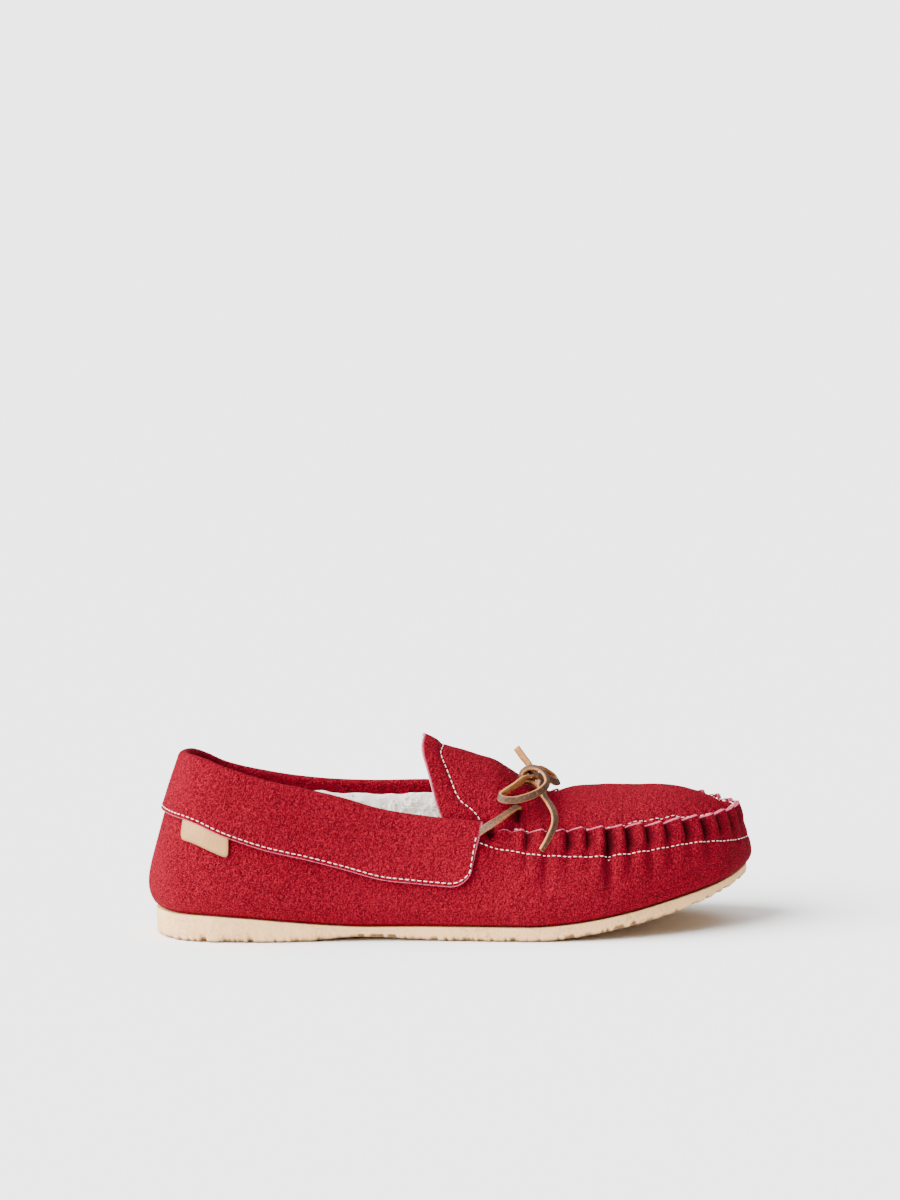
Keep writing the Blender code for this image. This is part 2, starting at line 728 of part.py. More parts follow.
def insole():
    inset = FOOT_INSET + SUEDE + INSOLE_CLEARANCE
    base = GAP + SUEDE + GAP
    return slab(
        "insole",
        [
            (inset, lambda x: sole_top(x) + base),
            (inset, lambda x: sole_top(x) + base + INSOLE_THICKNESS),
        ],
        FLEECE_CREAM,
    )


def ribbon(name, line, facing, colour):
    """A flat strip of lace along a line, its broad side turned to the given directions."""
    line = np.array(line, float)
    along = np.gradient(line, axis=0)
    along /= np.linalg.norm(along, axis=1)[:, None]
    side = np.cross(np.array(facing, float), along)
    side /= np.linalg.norm(side, axis=1)[:, None]
    up = np.cross(along, side)
    corners = ((-1, -1), (1, -1), (1, 1), (-1, 1))
    half = (LACE_WIDTH / 2, LACE_THICKNESS / 2)
    points = np.stack([line + side * a * half[0] + up * b * half[1] for a, b in corners], axis=1).reshape(-1, 3)
    faces = grid_faces(len(line), 4, closed=True)
    last = 4 * (len(line) - 1)
    faces += [(3, 2, 1, 0), (last, last + 1, last + 2, last + 3)]
    return add_solid(name, points, faces, colour, 0.6)


def lace_run(name, lateral):
    """The lace from the cuff's front end over the rim to its slit in the apron, just clear of both."""
    side = -1 if lateral else 1
    clear = LACE_LIFT + LACE_THICKNESS / 2
    start_wall = Wall([distance_at(CUFF_FRONT + LACE_START, lateral)])
    start = start_wall.layer(0.975, -clear - GATHER_DEPTH)[0]
    throat = throat_edge()[0 if lateral else 1]
    other = throat_edge()[1 if lateral else 0]
    share = (APRON_SHARES[1] + APRON_SHARES[2]) / 2
    dome = 4 * share * (1 - share)
    end = throat * (1 - share) + other * share
    end[0] = SLIT_AT - 1.0
    middle = (throat[2] + other[2]) / 2
    end[2] += (crest(end[0]) - middle) * dome + clear + 1.3
    over = np.array([THROAT + 0.2, throat[1] + side * 3.4, throat[2] + RIDGE_HEIGHT + clear + 1.8])
    knots = np.array([0.0, 0.42, 1.0])
    at = np.linspace(0, 1, 7)
    line = np.column_stack([smooth(knots, [start[i], over[i], end[i]], at) for i in range(3)])
    tilt = np.linspace(0, 1, len(at))[:, None]
    outward = np.array([0.0, side, 0.35])
    upward = np.array([0.0, side * 0.75, 0.66])
    return ribbon(name, line, outward * (1 - tilt) + upward * tilt, LACE_BROWN)


def lace_tube(name, points):
    """One free length of the bow as a round tube on a smooth curve through its points."""
    points = np.array(points, float)
    knots = np.concatenate([[0], np.cumsum(np.linalg.norm(np.diff(points, axis=0), axis=1))])
    count = max(3, int(round(knots[-1] / TUBE_STEP)) + 1)
    at = np.linspace(0, knots[-1], count)
    line = np.column_stack([smooth(knots, points[:, i], at) for i in range(3)]) * MM
    curve = bpy.data.curves.new(name, "CURVE")
    curve.dimensions = "3D"
    curve.bevel_depth = LACE_TUBE * MM
    curve.bevel_resolution = 2
    curve.use_fill_caps = True
    spline = curve.splines.new("POLY")
    spline.points.add(count - 1)
    for point, place in zip(spline.points, line):
        point.co = (*place, 1.0)
    tube = bpy.data.objects.new(name, curve)
    bpy.context.scene.collection.objects.link(tube)
    tube.data.materials.append(material(name, LACE_BROWN, 0.6))
    return tube


def lace_knot():
    """The bow's knot as one rounded lump."""
    rings, around = 6, 10
    turn = np.arange(around) / around * 2 * math.pi
    points = [(KNOT.x, KNOT.y, KNOT.z - KNOT_RADII.z)]
    for i in range(1, rings):
        lift = -math.cos(math.pi * i / rings)
        wide = math.sin(math.pi * i / rings)
        for angle in turn:
            points.append(
                (
                    KNOT.x + KNOT_RADII.x * wide * math.cos(angle),
                    KNOT.y + KNOT_RADII.y * wide * math.sin(angle),
                    KNOT.z + KNOT_RADII.z * lift,
                )
            )
    points.append((KNOT.x, KNOT.y, KNOT.z + KNOT_RADII.z))
    faces = [tuple(n + 1 for n in face) for face in grid_faces(rings - 1, around, closed=True)]
    top = len(points) - 1
    last = top - around
    for j in range(around):
        faces.append((0, 1 + (j + 1) % around, 1 + j))
        faces.append((last + j, last + (j + 1) % around, top))
    return add_solid("lace_knot", points, faces, LACE_BROWN, 0.6)


def centre_over_origin(solids, measured):
    """Moves every solid so that the middle of the measured ones' box stands over the origin."""
    bpy.context.view_layer.update()
    corners = np.array([solid.matrix_world @ vertex.co for solid in measured for vertex in solid.data.vertices])
    middle = (corners.min(0) + corners.max(0)) / 2
    for solid in solids:
        solid.location = (-middle[0], -middle[1], 0.0)


def build():
    for old in list(bpy.data.objects):
        bpy.data.objects.remove(old)
    body = [outsole(), insole(), upper(), tongue(), collar_cuff(), side_tab()]
    body += [lace_run("lace_run_lateral", True), lace_run("lace_run_medial", False)]
    bow = [
        lace_knot(),
        lace_tube("lace_loop_near", LOOP_NEAR),
        lace_tube("lace_loop_far", LOOP_FAR),
        lace_tube("lace_end_up", END_UP),
        lace_tube("lace_end_down", END_DOWN),
    ]
    centre_over_origin(body + bow, body)


build()
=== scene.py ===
"""Dresses the moccasin slipper's solids in suede, fleece, crepe, leather lace and thread, and lights them.

The surfaces follow the same named sizes and tables as the solids. They are worked out in millimetres on the last:
X from the sole's heel end to the toe, Y to the medial side, Z up from the floor. The outsole's box says where that
lies in the frame.
"""

import math
from collections import namedtuple
from types import SimpleNamespace

import bmesh
import bpy
import numpy as np
from bpy.props import FloatProperty, FloatVectorProperty, IntProperty, PointerProperty
from mathutils import Matrix, Vector, noise


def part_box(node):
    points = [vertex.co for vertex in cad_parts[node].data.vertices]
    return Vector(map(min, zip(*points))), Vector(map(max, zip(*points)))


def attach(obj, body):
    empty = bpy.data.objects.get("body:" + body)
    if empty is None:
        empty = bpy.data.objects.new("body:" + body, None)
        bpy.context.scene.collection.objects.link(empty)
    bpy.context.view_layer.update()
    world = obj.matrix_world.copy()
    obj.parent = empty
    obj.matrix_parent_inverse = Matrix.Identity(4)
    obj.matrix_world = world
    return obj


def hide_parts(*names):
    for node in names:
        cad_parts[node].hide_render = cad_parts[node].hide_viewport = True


bl_info = {
    "name": "Moccasin Slipper Dressing",
    "version": (1, 0, 0),
    "blender": (4, 5, 0),
    "location": "View3D > Sidebar > Slipper",
    "description": "Dresses a moccasin slipper in suede, fleece, crepe and leather",
    "category": "Object",
}

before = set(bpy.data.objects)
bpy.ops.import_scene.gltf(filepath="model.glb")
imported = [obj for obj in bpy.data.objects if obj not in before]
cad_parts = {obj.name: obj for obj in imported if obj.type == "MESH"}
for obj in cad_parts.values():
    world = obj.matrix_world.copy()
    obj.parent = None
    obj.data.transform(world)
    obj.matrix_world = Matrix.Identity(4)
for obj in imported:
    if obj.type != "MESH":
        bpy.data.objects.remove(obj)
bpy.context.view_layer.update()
SOLE_CORNER = Vector(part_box("outsole")[0])

MM = 0.001

# Sole
SOLE_LENGTH = 255.0
BALL_WIDTH = 90.0
FOREFOOT_THICKNESS = 6.0
TOE_THINNING = 1.5
TOE_THINNING_LENGTH = 40.0
HEEL_WEDGE = 5.3
WEDGE_START = 15.0
WEDGE_END = 95.0
BREAST_START = 60.0
BREAST_END = 86.0
ARCH_END = 128.0
ARCH_LIFT = 1.7
TOE_SPRING = 19.4
SPRING_START = 160.0
SPRING_POWER = 1.66

# Upper
SUEDE = 1.5
GAP = 0.3
FOOT_INSET = 0.8
MARGIN_WIDTH = 10.0
BACK_HEIGHT = 76.5
VAMP_HEIGHT = 38.5
INSTEP_HEIGHT = 64.7
THROAT = 149.4
THROAT_BLEND = 12.0
BULGE = 4.0
LEAN_POWER = 1.8
LOBES = 14
RIDGE_HEIGHT = 2.2
RIDGE_WIDTH = 3.0
RIDGE_TOP_WIDTH = 1.8
RIDGE_LEAN = (RIDGE_WIDTH - RIDGE_TOP_WIDTH) / 2

# Tongue
TONGUE_PEAK = 117.4
TONGUE_SHOULDER = 1.8
TONGUE_CORNER = 126.0
TONGUE_LATERAL = 27.3
TONGUE_MEDIAL = 24.3
TONGUE_LATERAL_HEIGHT = 49.5
TONGUE_MEDIAL_HEIGHT = 54.5
SHOULDER_SHARE = 0.3

# Collar cuff, side tab and slits
CUFF_FOLD_IN = 13.0
CUFF_FRONT = 139.9
CUFF_CORNER = 11.0
CUFF_LEAN = 3.0
CUFF_LEAN_REACH = 45.0
TAB_LENGTH = 22.5
TAB_DEPTH = 8.0
TAB_THICKNESS = 1.3
TAB_START = 11.6
TAB_CORNER = 2.0
SLIT_AT = 156.5
THROAT_NOTCH = 4.4
INSOLE_THICKNESS = 4.0

POINTS_PER_OUTLINE_ROW = 40
SHARP_ANGLE = 58.0
# How far a seed moves the noise along each axis.
SEED_STRIDE = (17.3, 5.1, 9.7)

# Half widths of the sole, as shares of the ball width, at shares of the sole's length.
OutlineRow = namedtuple("OutlineRow", "along across")
LATERAL_OUTLINE = [
    OutlineRow(0.030, 0.225),
    OutlineRow(0.085, 0.320),
    OutlineRow(0.170, 0.362),
    OutlineRow(0.300, 0.375),
    OutlineRow(0.420, 0.395),
    OutlineRow(0.530, 0.443),
    OutlineRow(0.630, 0.492),
    OutlineRow(0.720, 0.500),
    OutlineRow(0.810, 0.460),
    OutlineRow(0.890, 0.372),
    OutlineRow(0.955, 0.235),
    OutlineRow(0.990, 0.060),
]
MEDIAL_OUTLINE = [
    OutlineRow(0.030, 0.225),
    OutlineRow(0.085, 0.320),
    OutlineRow(0.180, 0.355),
    OutlineRow(0.320, 0.330),
    OutlineRow(0.450, 0.328),
    OutlineRow(0.570, 0.390),
    OutlineRow(0.680, 0.455),
    OutlineRow(0.770, 0.465),
    OutlineRow(0.865, 0.418),
    OutlineRow(0.940, 0.325),
    OutlineRow(0.985, 0.200),
]
TOE_TIP_ACROSS = 0.075

# Rim of the tub and drop of the cuff's outer band below it, as shares of BACK_HEIGHT.
RimRow = namedtuple("RimRow", "along lateral medial cuff")
RIM = [
    RimRow(0.00, 1.000, 1.000, 0.302),
    RimRow(0.06, 0.998, 0.964, 0.325),
    RimRow(0.12, 0.946, 0.880, 0.349),
    RimRow(0.19, 0.876, 0.818, 0.356),
    RimRow(0.26, 0.824, 0.778, 0.360),
    RimRow(0.32, 0.772, 0.758, 0.362),
    RimRow(0.38, 0.710, 0.749, 0.358),
    RimRow(0.45, 0.668, 0.748, 0.344),
    RimRow(0.55, 0.634, 0.730, 0.336),
    RimRow(0.62, 0.612, 0.710, 0.330),
]

# Foot of the seam's ridge: height over the sole, as a share of VAMP_HEIGHT.
SeamRow = namedtuple("SeamRow", "along lateral medial")
SEAM = [
    SeamRow(0.50, 1.030, 1.200),
    SeamRow(0.60, 1.000, 1.184),
    SeamRow(0.71, 0.964, 1.156),
    SeamRow(0.78, 0.909, 1.086),
    SeamRow(0.85, 0.823, 0.966),
    SeamRow(0.915, 0.755, 0.852),
    SeamRow(0.96, 0.690, 0.745),
    SeamRow(1.00, 0.620, 0.620),
]

# Side wall: how far its top lies inside the sole's outline, as a share of BALL_WIDTH, and its bulge.
WallRow = namedtuple("WallRow", "along lateral medial bulge bulge_at")
WALL = [
    WallRow(0.00, 0.143, 0.143, 1.12, 0.20),
    WallRow(0.07, 0.110, 0.100, 1.05, 0.21),
    WallRow(0.15, 0.078, 0.066, 0.95, 0.22),
    WallRow(0.25, 0.061, 0.042, 1.00, 0.25),
    WallRow(0.37, 0.056, 0.022, 1.00, 0.28),
    WallRow(0.48, 0.063, 0.026, 1.02, 0.30),
    WallRow(0.55, 0.083, 0.046, 1.05, 0.30),
    WallRow(0.60, 0.103, 0.075, 1.08, 0.30),
    WallRow(0.70, 0.117, 0.105, 1.10, 0.30),
    WallRow(0.78, 0.107, 0.105, 1.08, 0.29),
    WallRow(0.85, 0.089, 0.089, 1.02, 0.28),
    WallRow(0.92, 0.064, 0.067, 0.95, 0.27),
    WallRow(0.97, 0.042, 0.044, 0.90, 0.26),
    WallRow(1.00, 0.032, 0.032, 0.88, 0.26),
]

# Crest of the apron and the tongue: height over the sole, as a share of INSTEP_HEIGHT.
CrestRow = namedtuple("CrestRow", "along height")
CREST = [
    CrestRow(0.430, 1.262),
    CrestRow(0.460, 1.207),
    CrestRow(0.492, 1.136),
    CrestRow(0.524, 1.092),
    CrestRow(0.550, 1.052),
    CrestRow(0.585, 0.998),
    CrestRow(0.613, 0.915),
    CrestRow(0.645, 0.808),
    CrestRow(0.680, 0.772),
    CrestRow(0.731, 0.768),
    CrestRow(0.782, 0.740),
    CrestRow(0.837, 0.683),
    CrestRow(0.888, 0.606),
    CrestRow(0.947, 0.485),
    CrestRow(0.982, 0.395),
    CrestRow(1.000, 0.368),
]

# Folds that run on down the side wall below the gathers: which groove they start from, counted from the throat,
# how far down they run and how deep they are.
FoldRow = namedtuple("FoldRow", "groove length depth")
LATERAL_FOLDS = [
    FoldRow(1, 6.0, 0.35),
    FoldRow(2, 15.0, 0.95),
    FoldRow(3, 7.0, 0.35),
    FoldRow(4, 6.0, 0.40),
    FoldRow(5, 19.0, 1.45),
    FoldRow(6, 12.0, 0.70),
    FoldRow(7, 15.0, 0.90),
    FoldRow(8, 11.0, 0.60),
    FoldRow(9, 8.0, 0.45),
    FoldRow(10, 9.0, 0.50),
    FoldRow(11, 6.0, 0.35),
    FoldRow(12, 6.0, 0.35),
    FoldRow(13, 5.0, 0.30),
]
MEDIAL_FOLDS = [
    FoldRow(2, 10.0, 0.50),
    FoldRow(4, 14.0, 0.85),
    FoldRow(6, 9.0, 0.55),
    FoldRow(7, 15.0, 0.95),
    FoldRow(9, 11.0, 0.60),
    FoldRow(11, 7.0, 0.40),
]


def smooth(knots, values, at):
    """Values at the given places on a smooth curve through the knots, held at its ends."""
    knots = np.asarray(knots, float)
    values = np.asarray(values, float)
    step = np.diff(knots)
    slope = np.diff(values) / step
    tangent = np.empty_like(values)
    tangent[1:-1] = (slope[:-1] * step[1:] + slope[1:] * step[:-1]) / (step[:-1] + step[1:])
    tangent[0] = slope[0]
    tangent[-1] = slope[-1]
    at = np.clip(np.asarray(at, float), knots[0], knots[-1])
    i = np.clip(np.searchsorted(knots, at, side="right") - 1, 0, len(step) - 1)
    t = (at - knots[i]) / step[i]
    rise = t * t * (3 - 2 * t)
    lead = t * (1 - t) * (1 - t) * tangent[i] - t * t * (1 - t) * tangent[i + 1]
    return values[i] * (1 - rise) + values[i + 1] * rise + lead * step[i]


def column(table, name, along):
    """One named column of a table at shares along the sole."""
    return smooth([row.along for row in table], [getattr(row, name) for row in table], along)


def ease(low, high, at):
    """0 below low, 1 above high and a soft step between them."""
    t = np.clip((np.asarray(at, float) - low) / (high - low), 0, 1)
    return t * t * (3 - 2 * t)


def hump(at, middle, width, power=2):
    """1 at the middle and falling softly to 0 on both sides of it."""
    return np.exp(-(((at - middle) / width) ** power))


def dome(share):
    """0 at both sides and 1 halfway between them."""
    return 4 * share * (1 - share)


def outline_loop():
    """Points round the sole's outline, the lateral side first, and their distances from the heel."""
    lateral = [(row.along, -row.across) for row in LATERAL_OUTLINE]
    medial = [(row.along, row.across) for row in MEDIAL_OUTLINE]
    corners = np.array([(0.0, 0.0)] + lateral + [(1.0, TOE_TIP_ACROSS)] + medial[::-1])
    corners *= (SOLE_LENGTH, BALL_WIDTH)
    wrapped = np.vstack([corners[-3:], corners, corners[:4]])
    knots = np.concatenate([[0], np.cumsum(np.sqrt(np.linalg.norm(np.diff(wrapped, axis=0), axis=1)))])
    at = np.linspace(knots[3], knots[3 + len(corners)], POINTS_PER_OUTLINE_ROW * len(corners))
    points = np.column_stack([smooth(knots, wrapped[:, 0], at), smooth(knots, wrapped[:, 1], at)])
    distance = np.concatenate([[0], np.cumsum(np.linalg.norm(np.diff(points, axis=0), axis=1))])
    return points, distance


OUTLINE, DISTANCE = outline_loop()
TOE = int(np.argmax(OUTLINE[:, 0]))
TOTAL = DISTANCE[-1]
TOE_DISTANCE = DISTANCE[TOE]
SHIFT = np.array([SOLE_CORNER.x - OUTLINE[:, 0].min() * MM, SOLE_CORNER.y - OUTLINE[:, 1].min() * MM, 0.0])
# Half the stretch of outline over which its direction is measured.
TANGENT_REACH = 1.5


def in_frame(points):
    """Points in millimetres on the last, as points in metres in the frame."""
    return np.asarray(points, float) * MM + SHIFT


def on_outline(distance):
    """Points of the outline at distances from the heel, and the outward normals there."""

    def points(at):
        return np.column_stack([np.interp(at % TOTAL, DISTANCE, OUTLINE[:, i]) for i in (0, 1)])

    distance = np.asarray(distance, float) % TOTAL
    tangent = points(distance + TANGENT_REACH) - points(distance - TANGENT_REACH)
    tangent /= np.linalg.norm(tangent, axis=1)[:, None]
    return points(distance), np.column_stack([tangent[:, 1], -tangent[:, 0]])


def is_lateral(distance):
    """Whether distances from the heel lie on the lateral side."""
    return (np.asarray(distance, float) % TOTAL) <= TOE_DISTANCE


def distance_at(x, lateral):
    """Distance from the heel to the place where the outline has this x, on the lateral or the medial side."""
    if lateral:
        return float(np.interp(x, OUTLINE[: TOE + 1, 0], DISTANCE[: TOE + 1]))
    return float(np.interp(x, OUTLINE[: TOE - 1 : -1, 0], DISTANCE[: TOE - 1 : -1]))


LATERAL_THROAT = distance_at(THROAT, True)
MEDIAL_THROAT = distance_at(THROAT, False)


def spring(x):
    """How far the toe spring lifts the sole at x."""
    share = np.clip((np.asarray(x, float) - SPRING_START) / (SOLE_LENGTH - SPRING_START), 0, None)
    return TOE_SPRING * share**SPRING_POWER


def sole_bottom(x):
    """Height of the sole's underside at x."""
    arch = ARCH_LIFT * ease(BREAST_START, BREAST_END, x) * (1 - ease(BREAST_END, ARCH_END, x))
    return spring(x) + arch


def sole_top(x):
    """Height of the sole's upper face at x."""
    wedge = HEEL_WEDGE * (1 - ease(WEDGE_START, WEDGE_END, x))
    thinning = TOE_THINNING * ease(SOLE_LENGTH - TOE_THINNING_LENGTH, SOLE_LENGTH, x)
    return spring(x) + FOREFOOT_THICKNESS + wedge - thinning


def crest(x):
    """Height of the apron and the tongue along their middle."""
    return sole_top(x) + INSTEP_HEIGHT * column(CREST, "height", x / SOLE_LENGTH)


class Wall:
    """The tub's side wall above given distances along the outline, as one upright profile for each."""

    def __init__(self, distance):
        self.distance = np.asarray(distance, float)
        self.point, self.normal = on_outline(self.distance)
        self.along = self.point[:, 0] / SOLE_LENGTH
        self.inset = BALL_WIDTH * self.sided(WALL)
        self.bulge = BULGE * column(WALL, "bulge", self.along)
        self.bulge_at = column(WALL, "bulge_at", self.along)
        foot = self.point - self.normal * FOOT_INSET
        self.foot_height = sole_top(foot[:, 0]) + GAP
        rim = BACK_HEIGHT * self.sided(RIM)
        seam = VAMP_HEIGHT * self.sided(SEAM) + sole_top(self.point[:, 0])
        front = ease(THROAT - THROAT_BLEND, THROAT, self.point[:, 0])
        self.top_height = rim * (1 - front) + seam * front
        self.height = self.top_height - self.foot_height

    def sided(self, table):
        """A table's lateral or medial column, whichever side each distance lies on."""
        lateral, medial = (column(table, side, self.along) for side in ("lateral", "medial"))
        return np.where(is_lateral(self.distance), lateral, medial)

    def profile(self, share):
        """Offset out of the outline and height of the wall's outer face at a share of its height."""
        swell = share / self.bulge_at * np.exp(1 - share / self.bulge_at)
        left = 1 / self.bulge_at * np.exp(1 - 1 / self.bulge_at)
        lean = (self.inset - FOOT_INSET) * np.maximum(share, 0) ** LEAN_POWER
        offset = -FOOT_INSET + self.bulge * (swell - left * share) - lean
        return offset, self.foot_height + self.height * share

    def facing(self, share):
        """The outer face's normal in the upright plane: its outward and its upward part."""
        step = 0.01
        low, low_z = self.profile(np.maximum(share - step, 0))
        high, high_z = self.profile(np.minimum(share + step, 1))
        out = high_z - low_z
        up = low - high
        size = np.hypot(out, up)
        return out / size, up / size

    def place(self, offset, z):
        """Points at an offset out of the outline and a height."""
        return np.column_stack([self.point + self.normal * np.asarray(offset)[:, None], z])

    def layer(self, share, depth):
        """Points at a depth under the outer face, negative for outside it."""
        offset, z = self.profile(share)
        out, up = self.facing(share)
        return self.place(offset - depth * out, z - depth * up)


def noise_at(points, size, seed, octaves):
    """Smooth noise from -1 to 1 at points in millimetres, with features of about `size` millimetres."""
    offset = Vector([seed * stride for stride in SEED_STRIDE])
    places = (Vector(point) / size + offset for point in np.asarray(points, float))
    return np.array([noise.fractal(place, 1.0, 2.0, octaves) for place in places])


def grid_faces(rows, across, closed=False):
    """Faces of a grid whose points are numbered row by row, each row holding `across` points."""
    i, j = np.meshgrid(np.arange(rows - 1), np.arange(across if closed else across - 1), indexing="ij")
    i, j = i.ravel(), j.ravel()
    k = (j + 1) % across
    return np.column_stack([i * across + j, i * across + k, (i + 1) * across + k, (i + 1) * across + j])


def grid_normals(points, rows, across, closed=False):
    """Unit normals of such a grid, facing out where its faces do."""
    grid = points.reshape(rows, across, 3)
    if closed:
        along = np.roll(grid, -1, axis=1) - np.roll(grid, 1, axis=1)
    else:
        along = np.gradient(grid, axis=1)
    up = np.gradient(grid, axis=0)
    normal = np.cross(along, up).reshape(-1, 3)
    return normal / np.maximum(np.linalg.norm(normal, axis=1), 1e-9)[:, None]


def new_piece(name, points, faces, finish, marks=None):
    """A smooth piece in the frame, from points in millimetres on the last. Marks are named numbers on its points."""
    mesh = bpy.data.meshes.new(name)
    mesh.from_pydata(in_frame(points).tolist(), [], [list(map(int, face)) for face in faces])
    mesh.validate()
    mesh.shade_smooth()
    mesh.set_sharp_from_angle(angle=math.radians(SHARP_ANGLE))
    for mark, values in (marks or {}).items():
        layer = mesh.attributes.new(mark, "FLOAT", "POINT")
        layer.data.foreach_set("value", np.asarray(values, np.float32))
    piece = bpy.data.objects.new(name, mesh)
    bpy.context.scene.collection.objects.link(piece)
    mesh.materials.append(finish)
    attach(piece, "root")
    return piece


def shell(name, outer, inner, faces, finish, marks=None):
    """A closed wall between two layers of points that share the same faces."""
    count = len(outer)
    faces = [tuple(map(int, face)) for face in faces]
    edges = {(face[i], face[(i + 1) % len(face)]) for face in faces for i in range(len(face))}
    sides = [(b, a, a + count, b + count) for a, b in sorted(edges) if (b, a) not in edges]
    back = [tuple(i + count for i in reversed(face)) for face in faces]
    both = {mark: np.concatenate([values, values]) for mark, values in (marks or {}).items()}
    return new_piece(name, np.vstack([outer, inner]), faces + back + sides, finish, both)


# Where the row of stitches runs round the vamp: millimetres down the side wall from the foot of the ridge.
StitchRow = namedtuple("StitchRow", "along below")
VAMP_STITCHES = [
    StitchRow(0.540, 6.6),
    StitchRow(0.560, 6.4),
    StitchRow(0.584, 5.8),
    StitchRow(0.618, 6.8),
    StitchRow(0.670, 8.0),
    StitchRow(0.757, 9.4),
    StitchRow(0.870, 8.2),
    StitchRow(0.933, 8.5),
    StitchRow(1.000, 11.8),
]

# Troughs that the tied lace pulls into the apron, each along a line seen from above.
DentRow = namedtuple("DentRow", "from_x from_y to_x to_y width depth")
DENTS = [
    DentRow(172.0, -7.0, 176.5, -36.0, 4.5, 1.7),
    DentRow(171.0, 8.0, 175.0, 32.0, 5.0, 1.4),
    DentRow(184.0, -14.0, 187.0, -37.0, 4.0, 0.7),
    DentRow(158.5, -14.0, 157.0, -30.0, 3.0, 0.8),
    DentRow(158.5, 12.0, 157.0, 27.0, 3.0, 0.8),
]

# The lace, as the middle line of a flat strap and the way its grain side faces.
StrapPoint = namedtuple("StrapPoint", "x y z face_x face_y face_z")
LACE_WIDTH = 3.2
LACE_THICKNESS = 1.2
BOW_NEAR = [
    StrapPoint(168.8, 0.4, 59.6, 0.5, -0.8, 0.3),
    StrapPoint(167.0, -1.8, 62.4, 0.4, -0.8, 0.4),
    StrapPoint(163.0, -5.4, 65.4, 0.2, 0.5, 0.6),
    StrapPoint(160.3, -11.6, 65.6, 0.3, 0.9, 0.3),
    StrapPoint(156.6, -16.4, 63.9, 0.3, 0.9, 0.3),
    StrapPoint(152.3, -21.4, 62.0, 0.1, 0.9, 0.4),
    StrapPoint(148.6, -24.8, 60.1, -0.9, 0.0, 0.3),
    StrapPoint(150.4, -27.0, 59.0, -0.3, -0.95, 0.2),
    StrapPoint(155.5, -27.4, 58.8, 0.1, -1.0, 0.1),
    StrapPoint(161.1, -26.2, 59.9, 0.3, -0.95, 0.1),
    StrapPoint(166.3, -22.3, 61.6, 0.7, -0.7, 0.1),
    StrapPoint(169.2, -16.5, 63.7, 0.9, -0.4, 0.3),
    StrapPoint(168.6, -11.0, 66.6, 0.7, -0.3, 0.7),
    StrapPoint(165.6, -8.0, 69.0, 0.3, -0.3, 0.9),
    StrapPoint(161.4, -7.4, 69.2, -0.4, -0.3, 0.85),
    StrapPoint(158.4, -8.2, 66.8, -0.9, -0.3, 0.3),
    StrapPoint(159.2, -8.2, 63.9, -0.7, -0.3, -0.6),
    StrapPoint(162.6, -8.4, 63.0, 0.1, -0.5, -0.8),
    StrapPoint(165.2, -9.8, 63.0, 0.6, 0.1, -0.6),
    StrapPoint(166.8, -14.0, 61.0, 0.45, -0.45, 0.75),
    StrapPoint(167.8, -18.5, 58.8, 0.45, -0.45, 0.75),
    StrapPoint(170.1, -25.0, 56.2, 0.45, -0.45, 0.75),
    StrapPoint(171.9, -31.5, 53.0, 0.5, -0.5, 0.7),
    StrapPoint(171.7, -36.8, 49.2, 0.7, -0.5, 0.45),
    StrapPoint(169.2, -40.6, 44.4, 0.75, -0.55, 0.05),
    StrapPoint(165.9, -42.7, 39.4, 0.75, -0.55, -0.27),
]
BOW_FAR = [
    StrapPoint(163.2, -1.5, 66.6, 0.3, 0.3, 0.9),
    StrapPoint(165.6, 3.0, 67.6, 0.3, 0.8, 0.5),
    StrapPoint(169.0, 7.6, 65.4, 0.5, 0.8, 0.4),
    StrapPoint(172.4, 10.2, 62.6, 0.7, 0.6, 0.4),
    StrapPoint(174.4, 9.4, 60.4, 0.9, -0.3, 0.2),
    StrapPoint(173.2, 6.6, 60.5, 0.4, -0.9, 0.3),
    StrapPoint(170.2, 3.2, 62.6, 0.3, -0.85, 0.4),
    StrapPoint(166.6, -0.4, 64.2, 0.2, -0.85, 0.4),
    StrapPoint(163.2, -2.6, 65.8, 0.1, 0.9, 0.2),
    StrapPoint(161.8, -1.6, 69.6, 0.45, 0.85, 0.2),
    StrapPoint(159.2, 0.2, 73.0, 0.45, 0.85, 0.2),
    StrapPoint(156.6, 1.6, 76.6, 0.45, 0.85, 0.2),
]
# The turns that tie the knot and wind round the loops' feet, and how many points each turn has.
KNOT_CENTRE = (162.4, -3.4, 65.6)
KNOT_AXIS = (0.30, 0.94, -0.16)
KNOT_RADIUS = 2.3
KNOT_TURNS = 2.2
KNOT_PITCH = 2.5
KNOT_POINTS = 9
RUN_LATERAL = [
    StrapPoint(139.4, -34.9, 46.2, -0.3, -0.9, 0.35),
    StrapPoint(142.2, -35.6, 48.2, -0.3, -0.9, 0.45),
    StrapPoint(145.4, -35.2, 50.1, -0.3, -0.8, 0.6),
    StrapPoint(149.6, -31.6, 52.2, -0.3, -0.65, 0.75),
    StrapPoint(153.4, -26.4, 53.8, -0.25, -0.6, 0.8),
    StrapPoint(155.8, -23.2, 54.7, -0.1, -0.55, 0.85),
    StrapPoint(157.0, -21.6, 54.6, 0.0, -0.5, 0.9),
]
RUN_MEDIAL = [
    StrapPoint(138.6, 36.6, 52.6, -0.3, 0.9, 0.35),
    StrapPoint(141.8, 36.6, 54.2, -0.3, 0.9, 0.45),
    StrapPoint(145.6, 34.6, 56.2, -0.3, 0.8, 0.6),
    StrapPoint(150.0, 29.6, 58.6, -0.3, 0.6, 0.8),
    StrapPoint(154.0, 23.8, 60.6, -0.2, 0.55, 0.8),
    StrapPoint(156.6, 20.4, 60.2, 0.1, 0.5, 0.85),
    StrapPoint(157.4, 19.6, 57.8, 0.7, 0.3, 0.5),
]


